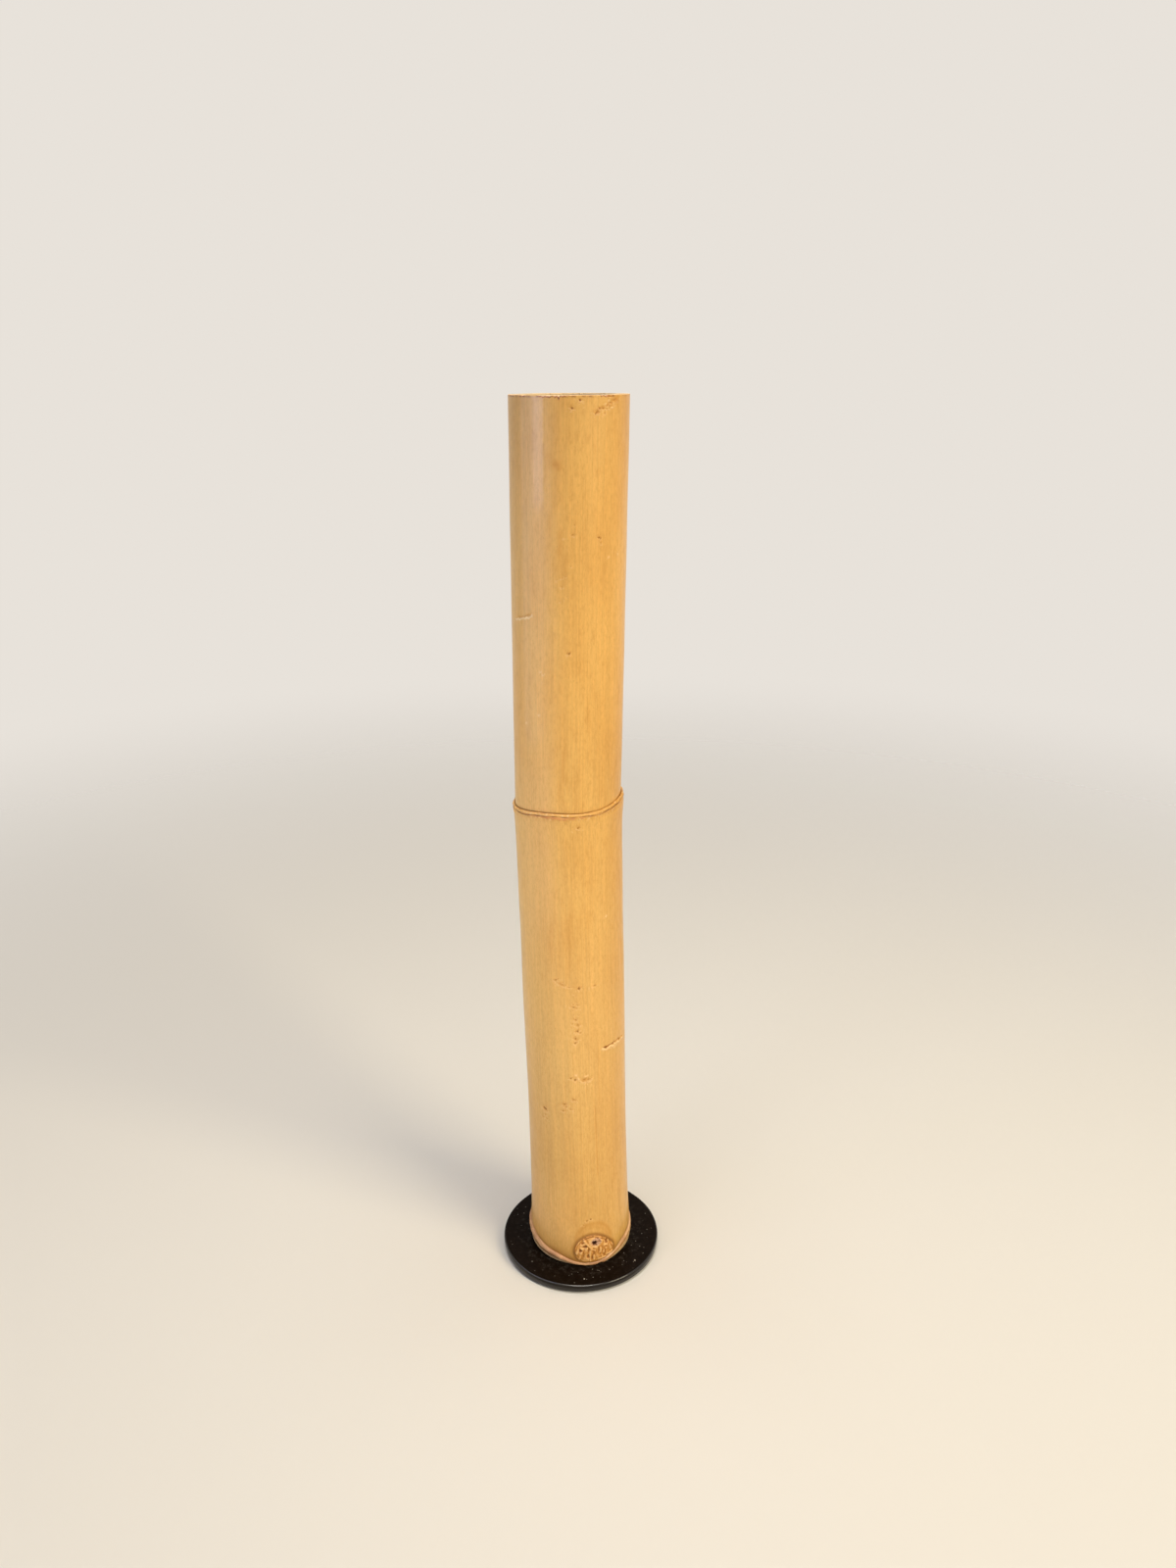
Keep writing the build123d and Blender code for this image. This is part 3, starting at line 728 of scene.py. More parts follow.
def lower_culm(material):
    """The lower internode, from the middle node's ridge down to the sawn foot, with its socket and hollow."""
    first_ridge_row = len(node_cap(NODE))
    last_ridge_row = first_ridge_row + len(ridge_rows())
    made, side, row, (skin, value, level, lift) = culm_grid(lower_rows())
    height = level + lift * ring_lift(side)
    outside = skin_radius(side, height, LOWER_OUTSIDE, 5)
    move, stain, pale = weathered(side, height, outside)
    on_skin = skin > 0.5
    radius = np.where(on_skin, outside - value + move * smooth_step(0.5, 0.0, value), value)

    # The ridge of the middle node: rags of sheath below it, painted shade in the gap along it and where it
    # tucks in, and pale flecks
    on_ridge = smooth_step(first_ridge_row, first_ridge_row + 4, row)
    on_ridge *= smooth_step(last_ridge_row + 1, last_ridge_row - 8, row)
    below_crease = NODE + ring_lift(side) - height
    radius += on_ridge * (RIDGE_LEAN * np.cos(np.radians(side)) + 0.12 * ripple(side, height, 41, 30, 40))
    fray = ripple(side, 0, 43, 90)
    band = smooth_step(1.6, 2.1, below_crease) * smooth_step(3.6 + 0.9 * fray, 2.7 + 0.7 * fray, below_crease)
    rags = np.clip(0.55 + 0.6 * ripple(side, height, 45, 70, 4), 0, 1)
    centre = np.clip(bell(turn_from(side, RAG_SIDE), RAG_SPREAD) + 0.2, 0, 1)
    sheath = band * rags * centre * (skin + on_ridge > 0.3)
    radius += 0.35 * sheath + 0.15 * on_ridge * ripple(side, height, 49, 90, 2.2)
    wander = 0.3 * ripple(side, 0, 57, 14)
    gap = bell(below_crease - GAP_DROP - wander, GAP_WIDTH)
    ends = smooth_step(*GAP_ENDS, np.abs(turn_from(side, GAP_SIDE)))
    gap *= np.clip(0.65 + 0.5 * ends + 0.45 * ripple(side, 0, 47, 40), 0.2, 1.1)
    # painted shade where the ridge tucks in under the neck
    inner = smooth_step(0.75, 0.25, value - NECK_RADIUS) * (skin < 0.5) * crease_strength(side)
    crease_shade = np.maximum(gap, inner) * on_ridge
    flecks = np.clip(0.7 * ripple(side, height, 53, 150, 3) - 0.25, 0, 0.6)
    pale = np.maximum(pale, flecks * on_ridge)
    stain = np.maximum(stain, 0.2 * on_ridge)

    # The foot: cut back and given painted shade under the lip, painted shade and dirt above it, and sawn off
    # below
    above_lip = height - lip_level(side) - lip_half(side)
    cut_edge = 0.62 * smooth_step(2.1, 1.5, height - FOOT) * on_skin
    # painted shade under the lip, except along the sawn edge
    under_lip = smooth_step(-1.6, -2.6, above_lip) * on_skin * (1 - cut_edge)
    radius -= 0.9 * under_lip * smooth_step(1.6, 2.4, height - FOOT)
    foot_shade = bell(np.clip(above_lip, 0, None), 3.0) * on_skin
    # dirt and painted shade above the lip, carried in the stain value
    grime_and_shade = 0.28 * smooth_step(9.0, 0.0, above_lip) + 0.35 * smooth_step(3.5, 0.3, above_lip)
    grime_and_shade *= bell(turn_from(side, GRIME_AND_SHADE_SIDE), GRIME_AND_SHADE_SPREAD) * on_skin
    stain = np.maximum(stain, grime_and_shade)

    # Round the foot scar: painted shade in the groove at its edge, a stain, and the arch
    away = scar_distance(FOOT_SCAR, side, height, outside)
    crease_shade = np.maximum(crease_shade, 0.8 * bell(away - 0.2, 1.0) * on_skin)
    stain = np.maximum(stain, 0.55 * bell(away - 0.7, 1.3) * on_skin)
    across = across_from(side, FOOT_SCAR["side"], outside)
    reach = np.hypot((across - ARCH["across"]) / ARCH["wide"], (height - ARCH["height"]) / ARCH["tall"])
    arch = sum(strength * bell(reach - share, width) for share, width, strength in ARCH["lines"])
    arch = arch + ARCH["stain"] * smooth_step(1.1, 0.9, reach)
    stain = np.maximum(stain, arch * smooth_step(*ARCH["levels"], height))
    shares = {
        "stain": stain,
        "pale": pale,
        "sheath": sheath,
        "torn": np.zeros_like(side),
        "sawn": np.maximum(smooth_step(0.1, 0.4, value) * on_skin, cut_edge),
        "bore": ((skin < 0.5) * (row > last_ridge_row)).astype(float),
        # painted shade in the grooves at the node and round the scar, and above and under the lip
        "crease_shade": np.maximum(crease_shade, np.maximum(0.62 * foot_shade, under_lip)),
    }
    return culm_piece("culm_lower", made, side, radius, height, shares, material)


def foot_lip(material):
    """The stub of the sheath: a sloping band round the foot, with a torn notch in its lower edge."""
    sides = SEAM + np.arange(LIP_COLUMNS) * 360 / LIP_COLUMNS
    turn = turn_from(sides, LIP_LOW_SIDE)
    notch = bell(turn - LIP_NOTCH_TURN, LIP_NOTCH_WIDTH)
    bare, flatter = (
        smooth_step(start, full, turn) * smooth_step(end, fade, turn)
        for start, full, fade, end in (LIP_BARE_TURNS, LIP_FLAT_TURNS)
    )
    stands = 1 - LIP_FLAT_SHARE * flatter
    half = lip_half(sides) * (1 + 0.06 * ripple(sides, 0, 59, 18))
    ragged = 0.1 * ripple(sides, 0, 61, 60)
    points = []
    shares = {"edge": [], "bare": [], "crest": [], "grain": []}
    for out, up in LIP_SECTION:
        low = smooth_step(0.3, -0.9, up)
        free = smooth_step(0.6, 1.4, out) * abs(up)
        height = lip_level(sides) + half * (up + 0.9 * low * notch) + free * ragged
        wave = 0.09 * ripple(sides, height, 67, 50, 9)
        radius = outline_radius(sides, height, LOWER_OUTSIDE)
        radius = radius + out * (stands if out > 0 else 1) + (out > 0) * (wave - 0.5 * low * notch)
        height = np.maximum(height, FOOT + 0.03 + 0.02 * (up + 1.2))
        points.append(culm_points(sides, radius, height))
        shares["edge"].append(bare * smooth_step(-0.35, -0.55, up))
        shares["bare"].append(bare * smooth_step(-0.55, -0.35, up) * smooth_step(0.4, 0.2, up))
        # painted highlight along the top of the lip where it is bare
        shares["crest"].append(bare * smooth_step(0.2, 0.45, up) * smooth_step(1.1, 0.85, up))
        shares["grain"].append(culm_points(sides, radius, height, straight=True))
    made = bmesh.new()
    grid = [new_points(made, LIP_COLUMNS) for _ in LIP_SECTION]
    for lower, upper in zip(grid, grid[1:] + grid[:1]):
        join_rings(made, lower, upper)
    values = {key: np.concatenate(rows) for key, rows in shares.items()}
    return finish_mesh("sheath_lip", made, np.concatenate(points), values, material, sharp=70)


def blurred(field, times):
    """A field on a grid, smoothed by averaging each point with its neighbours a number of times."""
    for _ in range(times):
        wide = np.pad(field, 1, mode="edge")
        field = (wide[:-2, 1:-1] + wide[2:, 1:-1] + wide[1:-1, :-2] + wide[1:-1, 2:] + wide[1:-1, 1:-1]) / 5
    return field


def line_distance(corners, s, t):
    """The distance from a line through corners."""
    off = np.full_like(s, np.inf)
    for (s0, t0), (s1, t1) in zip(corners, corners[1:]):
        run = (s1 - s0) ** 2 + (t1 - t0) ** 2
        part = np.clip(((s - s0) * (s1 - s0) + (t - t0) * (t1 - t0)) / run, 0, 1)
        off = np.minimum(off, np.hypot(s - s0 - part * (s1 - s0), t - t0 - part * (t1 - t0)))
    return off


def scar_relief(scar, s, t, away, seed):
    """How far the sawn face of a branch stands above its mean: strokes, pith, lumps, ridges and pits."""

    def lumps(across, up, number):
        return ripple(across * s, up * t, seed + number, 3, 90)

    pith_s, pith_t = scar["pith"]
    reach = np.hypot(s - pith_s, t - pith_t)
    bend = 0.4 * lumps(14, 8, 0)
    spread = 1 + 0.03 * np.clip(pith_t - t, 0, None)
    fan = smooth_step(*PITH_STROKES, reach) * smooth_step(4.0, -1.5, t) * smooth_step(-0.5, -1.4, away)
    depth = 0.3 * fan * np.clip(0.6 + 0.8 * lumps(40, 14, 1), 0.1, 1.3)
    relief = depth * np.cos(2 * pi * ((s - pith_s) / spread + bend) / scar["stroke"])
    uneven = np.clip(0.55 + 0.7 * lumps(20, 20, 5), 0, 1.2)
    ring = uneven * bell(reach - PITH_RING, PITH_RING_WIDTH)
    relief += 0.34 * ring - 0.55 * smooth_step(*PITH_HOLLOW, reach)
    relief += 0.13 * lumps(44, 12, 2) + 0.03 * lumps(100, 100, 4)
    for ridge in scar["ridges"]:
        off = line_distance(ridge, s, t)
        relief = np.maximum(relief, 0.7 * smooth_step(1.0, 0.2, off) - 0.4)
        relief -= 0.25 * bell(off - 1.4, 0.5)
    ragged = 1 + 0.18 * lumps(60, 60, 3)
    for pit_s, pit_t, wide, tall, depth in scar["pits"]:
        gap = np.hypot((s - pit_s) / wide, (t - pit_t) / tall) * ragged
        relief += 0.22 * bell(gap - 1.6, 0.4) - depth * smooth_step(1.25, 0.45, gap)
    relief -= 0.6 * bell(away + 0.6, 0.5)
    relief -= 0.6 * bell(away + 2.3, 0.5) * smooth_step(2.0, 6.0, t)
    return relief


def branch_scar(name, scar, outside, seed, material):
    """A sawn branch stub: a closed pad laid over the culm, with its grain, pits and pith hole cut into it."""
    lobes = np.array(scar["lobes"])
    low = (lobes[:, :2] - lobes[:, 2:]).min(axis=0) - SCAR_MARGIN
    high = (lobes[:, :2] + lobes[:, 2:]).max(axis=0) + SCAR_MARGIN
    low[1] = max(low[1], FOOT + 0.1 - scar["height"])
    across = levels_between(low[0], high[0], SCAR_STEP)
    up = levels_between(low[1], high[1], SCAR_STEP)
    s, t = np.meshgrid(across, up)
    height = scar["height"] + t
    base = smooth_line(outside, height) / 2
    side = scar["side"] + np.degrees(s / base)
    away = scar_distance(scar, side, height, base)
    away = np.maximum(away, lip_level(side) + lip_half(side) - 0.3 - height)
    relief = scar_relief(scar, s, t, away, seed)
    # how far the face lies below its smoothed self: positive in hollows, negative on raised parts
    shade = blurred(relief, SCAR_BLUR) - relief
    pith = smooth_step(*PITH_TINT, np.hypot(s - scar["pith"][0], 1.15 * (t - scar["pith"][1])))
    raised = -SCAR_SINK + (SCAR_PROUD + relief + SCAR_SINK) * smooth_step(0.4, -0.9, away)
    bottom = np.minimum(raised, -SCAR_SINK) - 1.0
    points = [culm_points(side, base + level, height).reshape(-1, 3) for level in (raised, bottom)]
    outer_stain = 0.6 * bell(away + 0.3, 1.0)
    # on the scar the stain value is painted shade in the hollows, darkest in the pith hole, plus a darker
    # band along the outline; the pale value is painted light on the raised parts
    values = {
        "grain": np.stack([s, t, 0.3 * relief], axis=-1).reshape(-1, 3),
        "stain": np.clip(1.9 * shade + outer_stain, 0, 0.66 + 0.34 * pith).ravel(),
        "pale": np.clip(-2.0 * shade, 0, 0.85).ravel(),
        "pith": pith.ravel(),
    }
    made = bmesh.new()
    top, under = ([new_points(made, len(across)) for _ in up] for _ in range(2))
    for i in range(len(up) - 1):
        for j in range(len(across) - 1):
            made.faces.new((top[i][j], top[i][j + 1], top[i + 1][j + 1], top[i + 1][j]))
            made.faces.new((under[i][j], under[i + 1][j], under[i + 1][j + 1], under[i][j + 1]))
    rims = []
    for sheet in (top, under):
        right, left = [row[-1] for row in sheet], [row[0] for row in sheet]
        rims.append(sheet[0][:-1] + right[:-1] + sheet[-1][:0:-1] + left[:0:-1])
    join_rings(made, *rims)
    doubled = {key: np.concatenate([value, value]) for key, value in values.items()}
    return finish_mesh(name, made, np.concatenate(points), doubled, material, sharp=80)


def felt_disc(material):
    """A thin disc of pressed felt under the plate, with a faintly uneven edge and underside."""
    low, high = (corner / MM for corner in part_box("felt_pad"))
    draw = np.random.default_rng(FELT_SEED)
    sides = np.radians(np.arange(FELT_COLUMNS) * 360 / FELT_COLUMNS)
    shares = np.linspace(1 / FELT_RINGS, 1, FELT_RINGS)
    points = []
    for level, sign in ((high.z, -1), (low.z, 1)):
        for share in shares:
            edge = high.x * share - (share == 1) * np.abs(draw.normal(0, FELT_EDGE_FUZZ, FELT_COLUMNS))
            fuzz = np.abs(draw.normal(0, FELT_FACE_FUZZ, FELT_COLUMNS))
            points.append(np.stack([edge * np.cos(sides), edge * np.sin(sides), level + sign * fuzz], axis=1))
    points.append(np.array([(0, 0, high.z), (0, 0, low.z)]))
    made = bmesh.new()
    grids = [[new_points(made, FELT_COLUMNS) for _ in shares] for _ in range(2)]
    for grid, hub in zip(grids, new_points(made, 2)):
        close_ring(made, hub, grid[0])
        for inner, outer in zip(grid, grid[1:]):
            join_rings(made, inner, outer)
    join_rings(made, grids[0][-1], grids[1][-1])
    return finish_mesh("felt_disc", made, np.concatenate(points), {}, material)


# Materials
class Nodes:
    """A node tree under construction, with short ways to add nodes."""

    def __init__(self, tree):
        self.tree = tree

    def add(self, kind, settings=None, **inputs):
        made = self.tree.nodes.new("ShaderNode" + kind)
        for key, value in (settings or {}).items():
            setattr(made, key, value)
        for key, value in inputs.items():
            self.put(made.inputs[key.replace("_", " ")], value)
        return made

    def put(self, socket, value):
        if isinstance(value, bpy.types.NodeSocket):
            self.tree.links.new(value, socket)
        else:
            socket.default_value = value

    def fill(self, made, *values):
        """Puts values into a node's first inputs, and gives its first output."""
        for socket, value in zip(made.inputs, values):
            self.put(socket, value)
        return made.outputs[0]

    def math(self, operation, a, b):
        return self.fill(self.add("Math", {"operation": operation}), a, b)

    def times(self, a, b):
        return self.math("MULTIPLY", a, b)


class Paint(Nodes):
    """A node material under construction, with short ways to add patterns and colours."""

    def __init__(self, name, **constants):
        self.material = bpy.data.materials.new(name)
        self.material.use_nodes = True
        super().__init__(self.material.node_tree)
        self.shader = self.tree.nodes["Principled BSDF"]
        self.use(**constants)

    def value(self, name):
        return self.add("Attribute", {"attribute_name": name}).outputs["Fac"]

    def place(self, name):
        return self.add("Attribute", {"attribute_name": name}).outputs["Vector"]

    def object_place(self):
        return self.add("TexCoord").outputs["Object"]

    def millimetres(self):
        return self.stretch(self.object_place(), (1 / MM, 1 / MM, 1 / MM))

    def axes(self, vector):
        return self.add("SeparateXYZ", Vector=vector).outputs

    def length(self, vector):
        made = self.add("VectorMath", {"operation": "LENGTH"})
        self.put(made.inputs[0], vector)
        return made.outputs["Value"]

    def stretch(self, vector, scale):
        return self.fill(self.add("VectorMath", {"operation": "MULTIPLY"}), vector, scale)

    def noise(self, vector, stretch=None, scale=1.0, detail=2.0, rough=0.5, warp=0.0):
        if stretch:
            vector = self.stretch(vector, stretch)
        settings = {"Scale": scale, "Detail": detail, "Roughness": rough, "Distortion": warp}
        return self.add("TexNoise", Vector=vector, **settings).outputs["Fac"]

    def cells(self, vector, scale=1.0):
        return self.add("TexVoronoi", Vector=vector, Scale=scale).outputs["Distance"]

    def span(self, value, low, high, out_low=0.0, out_high=1.0):
        made = self.add("MapRange", {"clamp": True, "interpolation_type": "SMOOTHSTEP"})
        return self.fill(made, value, low, high, out_low, out_high)

    def mix(self, factor, a, b):
        made = self.add("Mix", {"data_type": "RGBA"})
        self.put(made.inputs[0], factor)
        for socket, colour in ((made.inputs[6], a), (made.inputs[7], b)):
            self.put(socket, (*colour, 1) if isinstance(colour, tuple) else colour)
        return made.outputs[2]

    def tint(self, base, colour, *spans):
        """A base colour mixed towards another by the product of spans."""
        share = self.span(*spans[0])
        for span in spans[1:]:
            share = self.times(share, self.span(*span))
        return self.mix(share, base, colour)

    def shade(self, colour, *span):
        """A colour made lighter or darker by a span that varies over the surface."""
        made = self.add("VectorMath", {"operation": "SCALE"}, Scale=self.span(*span))
        return self.fill(made, colour)

    def bump(self, height, distance, strength=1.0):
        made = self.add("Bump", Height=height, Distance=distance, Strength=strength)
        self.put(self.shader.inputs["Normal"], made.outputs[0])

    def use(self, **sockets):
        for key, value in sockets.items():
            self.put(self.shader.inputs[key.replace("_", " ")], value)
        return self.material


def bamboo():
    """Dried bamboo: satin skin with streaks, mottling and specks, and raw wood where it is sawn or torn."""
    paint = Paint("bamboo", Specular_IOR_Level=0.3, Coat_Roughness=0.1)
    grain = paint.place("grain")
    stain = paint.value("stain")
    fibres = paint.noise(grain, (1.5, 1.5, 0.014), detail=3, rough=0.6)
    bands = paint.noise(grain, (0.28, 0.28, 0.006))
    clouds = paint.noise(grain, (0.04, 0.04, 0.011))
    mottle = paint.noise(grain, (0.24, 0.24, 0.085), detail=5, rough=0.68, warp=0.3)
    freckles = paint.noise(grain, (1, 1, 0.5), detail=1)

    # Clouds, mottling and smears
    skin = paint.tint((0.675, 0.35, 0.08), (0.74, 0.415, 0.108), (clouds, 0.3, 0.7))
    skin = paint.tint(skin, (0.605, 0.298, 0.06), (mottle, 0.45, 0.78, 0, 0.75))
    skin = paint.tint(skin, (0.785, 0.465, 0.138), (mottle, 0.42, 0.2, 0, 0.5))
    smears = paint.noise(grain, (0.75, 0.75, 0.15), detail=3, rough=0.55, warp=0.4)
    skin = paint.tint(skin, (0.535, 0.262, 0.046), (smears, 0.56, 0.74, 0, 0.5), (clouds, 0.62, 0.42))

    # Slow changes along the culm and from side to side, all painted light and shade
    axes = paint.axes(grain)
    across, level = axes["X"], axes["Z"]
    # a painted sheen on the left side, between the levels 240 and 470
    painted_sheen = (level, 470, 390, 0, 0.2), (level, 240, 320), (across, -5, -17), (across, -36, -28)
    skin = paint.tint(skin, (1, 0.62, 0.28), *painted_sheen)
    # painted light: paler below the level 390, less so near the foot
    skin = paint.tint(skin, (0.74, 0.445, 0.15), (level, 390, 200, 0, 0.4), (level, 50, 210, 0.3, 1))
    # painted light: lighter and redder between the levels 400 and 650
    skin = paint.tint(skin, (1, 0.52, 0.11), (level, 400, 470), (level, 650, 590, 0, 0.12))
    # painted shade: darker towards the foot
    skin = paint.shade(skin, level, 10, 230, 0.9, 1)
    # painted light: lighter on the left below the level 105
    skin = paint.tint(skin, (0.95, 0.52, 0.165), (across, 4, -14), (level, 105, 45, 0, 0.27))

    # Streaks, fibres, specks, threads and freckles
    skin = paint.shade(skin, bands, 0.25, 0.75, 0.978, 1.02)
    streaks = paint.noise(grain, (0.85, 0.85, 0.01), rough=0.6)
    skin = paint.shade(skin, streaks, 0.3, 0.7, 0.965, 1.03)
    skin = paint.shade(skin, fibres, 0.3, 0.7, 0.955, 1.035)
    specks = paint.noise(grain, (0.8, 0.8, 0.28), detail=3, rough=0.7, warp=0.2)
    skin = paint.tint(skin, (0.56, 0.27, 0.045), (specks, 0.52, 0.3, 0, 0.36))
    skin = paint.shade(skin, specks, 0.5, 0.72, 1, 1.06)
    threads = paint.noise(grain, (2, 2, 0.008), detail=1)
    skin = paint.tint(skin, (0.56, 0.262, 0.042), (threads, 0.6, 0.72, 0, 0.42), (clouds, 0.38, 0.6))
    skin = paint.tint(skin, (0.4, 0.19, 0.05), (freckles, 0.71, 0.82, 0, 0.4))

    # Marks, from the values on the mesh
    skin = paint.mix(paint.value("pale"), skin, (0.9, 0.62, 0.3))
    skin = paint.mix(stain, skin, (0.5, 0.19, 0.02))
    skin = paint.tint(skin, (0.2, 0.068, 0.009), (stain, 0.45, 1, 0, 0.9))
    skin = paint.mix(paint.value("sheath"), skin, (0.6, 0.245, 0.07))
    torn = paint.tint((0.22, 0.06, 0.018), (0.46, 0.175, 0.04), (freckles, 0.35, 0.65))
    skin = paint.mix(paint.value("torn"), skin, torn)
    # painted shade in the grooves, and above and under the lip
    skin = paint.mix(paint.times(paint.value("crease_shade"), 0.85), skin, (0.205, 0.073, 0.014))

    # Sawn wood and the bore, and how gloss and relief follow
    bundles = paint.cells(paint.stretch(grain, (0.75, 0.75, 0.1)))
    sawn = paint.tint((0.36, 0.2, 0.085), (0.72, 0.51, 0.28), (bundles, 0.12, 0.34))
    skin = paint.mix(paint.value("sawn"), skin, sawn)
    wall = paint.tint((0.6, 0.42, 0.22), (0.76, 0.58, 0.35), (fibres, 0.3, 0.7))
    skin = paint.mix(paint.value("bore"), skin, wall)
    raw = paint.math("MAXIMUM", paint.value("sawn"), paint.value("bore"))
    worn = paint.math("MAXIMUM", raw, stain)
    gloss = paint.math("ADD", paint.span(mottle, 0.3, 0.7, 0.38, 0.5), paint.times(worn, 0.3))
    paint.bump(paint.math("ADD", fibres, paint.times(mottle, 0.6)), 0.00012, 0.5)
    coat = paint.span(worn, 0, 0.16, 0.3, 0.05)
    return paint.use(Base_Color=skin, Roughness=gloss, Coat_Weight=coat)


def sheath():
    """The sheath stub: pinkish tan, brown and fibrous where its skin is gone with a painted highlight along
    its top there, cream along its sawn edge.
    """
    paint = Paint("sheath")
    grain = paint.place("grain")
    fibres = paint.noise(grain, (1.1, 1.1, 0.12), detail=3, rough=0.6)
    clouds = paint.noise(grain, (0.12, 0.12, 0.1), detail=3)
    skin = paint.tint((0.46, 0.215, 0.085), (0.62, 0.33, 0.15), (clouds, 0.35, 0.68))
    skin = paint.shade(skin, fibres, 0.3, 0.7, 0.88, 1.08)
    bare = paint.tint((0.33, 0.135, 0.035), (0.56, 0.28, 0.085), (fibres, 0.35, 0.65))
    skin = paint.mix(paint.value("bare"), skin, bare)
    # painted highlight along the bare top of the lip
    crest = paint.times(paint.value("crest"), paint.span(clouds, 0.35, 0.6, 0.35, 0.95))
    skin = paint.mix(crest, skin, (0.84, 0.52, 0.27))
    skin = paint.mix(paint.value("edge"), skin, (0.72, 0.49, 0.25))
    paint.bump(fibres, 0.00025, 0.6)
    return paint.use(Base_Color=skin, Roughness=paint.span(clouds, 0.3, 0.7, 0.5, 0.68))


def scar_wood():
    """The sawn face of a branch: coarse orange-brown grain and a grey pith, with painted light on its ridges
    and painted shade in its grooves.
    """
    paint = Paint("scar_wood")
    grain = paint.place("grain")
    stain = paint.value("stain")
    strokes = paint.noise(grain, (1, 0.4, 0.6), detail=4, rough=0.6, warp=0.5)
    fine = paint.noise(grain, (3.2, 1.8, 1.5))
    wood = paint.tint((0.5, 0.19, 0.028), (0.73, 0.345, 0.072), (strokes, 0.3, 0.7))
    # painted light on the raised parts of the face
    wood = paint.mix(paint.value("pale"), wood, (0.88, 0.53, 0.2))
    pith = paint.tint((0.2, 0.085, 0.05), (0.64, 0.37, 0.235), (strokes, 0.36, 0.52))
    wood = paint.mix(paint.times(paint.value("pith"), 0.85), wood, pith)
    # painted shade in the face's hollows, near black in the pith hole
    wood = paint.tint(wood, (0.37, 0.13, 0.01), (stain, 0, 0.6, 0, 0.85))
    wood = paint.tint(wood, (0.07, 0.018, 0.003), (stain, 0.45, 1))
    paint.bump(paint.math("ADD", strokes, fine), 0.0002, 0.6)
    return paint.use(Base_Color=wood, Roughness=paint.span(fine, 0.3, 0.7, 0.55, 0.75))


def coated_steel():
    """Black paint on steel: a dull face with dust and pale specks, and a glossier edge worn by handling."""
    paint = Paint("coated_steel", Specular_IOR_Level=0.03, Coat_Roughness=0.12)
    place = paint.millimetres()
    texture = paint.noise(place, scale=1.6)
    haze = paint.noise(place, scale=0.26, detail=5, rough=0.75)
    sparse = paint.noise(place, scale=0.06)
    reach = paint.length(paint.stretch(place, (1, 1, 0)))
    near_foot = paint.span(reach, 40, 56, 1, 0.1)
    dust = paint.times(paint.span(haze, 0.48, 0.75, 0, 0.075), near_foot)
    large = paint.span(paint.cells(place, scale=0.095), 0.045, 0.075, 0.9, 0)
    small = paint.span(paint.cells(place, scale=0.3), 0.08, 0.14, 0.4, 0)
    spots = paint.times(paint.math("MAXIMUM", large, small), paint.span(sparse, 0.44, 0.58))
    upwards = paint.axes(paint.add("NewGeometry").outputs["Normal"])["Z"]
    face = paint.span(upwards, 0.97, 0.998)
    spots = paint.times(paint.math("MAXIMUM", dust, spots), face)
    black = paint.tint((0.006, 0.0033, 0.0019), (0.01, 0.0056, 0.0032), (haze, 0.3, 0.7))
    black = paint.mix(spots, black, (0.62, 0.58, 0.5))
    paint.bump(texture, 0.00004, 0.35)
    gloss = paint.math("ADD", paint.span(haze, 0.35, 0.7, 0.2, 0.28), paint.times(face, 0.12))
    low_side = paint.span(upwards, 0.3, 0.05, 0, 0.65)
    dull = paint.times(low_side, paint.span(paint.axes(place)["Z"], 3.4, 5.2))
    coat = paint.math("SUBTRACT", paint.span(face, 0, 1, 1, 0), dull)
    return paint.use(Base_Color=black, Roughness=gloss, Coat_Weight=coat)


def liner_plastic():
    """Matt dark green moulded plastic, faintly mottled, with fine draw marks along its length."""
    paint = Paint("liner_plastic")
    place = paint.millimetres()
    marks = paint.noise(place, (0.7, 0.7, 0.01))
    clouds = paint.noise(place, scale=0.05, detail=3)
    green = paint.tint((0.0105, 0.026, 0.0125), (0.017, 0.036, 0.019), (clouds, 0.3, 0.7))
    green = paint.shade(green, marks, 0.3, 0.7, 0.85, 1.15)
    paint.bump(marks, 0.00005, 0.4)
    return paint.use(Base_Color=green, Roughness=paint.span(clouds, 0.3, 0.7, 0.42, 0.55))


def plug_wood():
    """Plain beech, with short dark pore flecks in its end grain."""
    paint = Paint("plug_wood")
    place = paint.millimetres()
    rings = paint.noise(place, (0.35, 0.06, 0.2), detail=3)
    pores = paint.cells(paint.stretch(place, (0.9, 0.5, 0.5)))
    wood = paint.tint((0.44, 0.26, 0.12), (0.58, 0.38, 0.2), (rings, 0.3, 0.7))
    wood = paint.tint(wood, (0.22, 0.11, 0.05), (pores, 0.05, 0.16, 0.5, 0))
    paint.bump(rings, 0.0001, 0.4)
    return paint.use(Base_Color=wood, Roughness=paint.span(rings, 0.3, 0.7, 0.6, 0.75))


def zinc_steel():
    """Zinc-plated steel, slightly uneven in colour and gloss."""
    paint = Paint("zinc_steel", Metallic=1.0)
    place = paint.millimetres()
    clouds = paint.noise(place, scale=0.5, detail=4)
    metal = paint.tint((0.48, 0.48, 0.47), (0.62, 0.62, 0.6), (clouds, 0.3, 0.7))
    paint.bump(clouds, 0.00004, 0.3)
    return paint.use(Base_Color=metal, Roughness=paint.span(clouds, 0.3, 0.7, 0.25, 0.42))


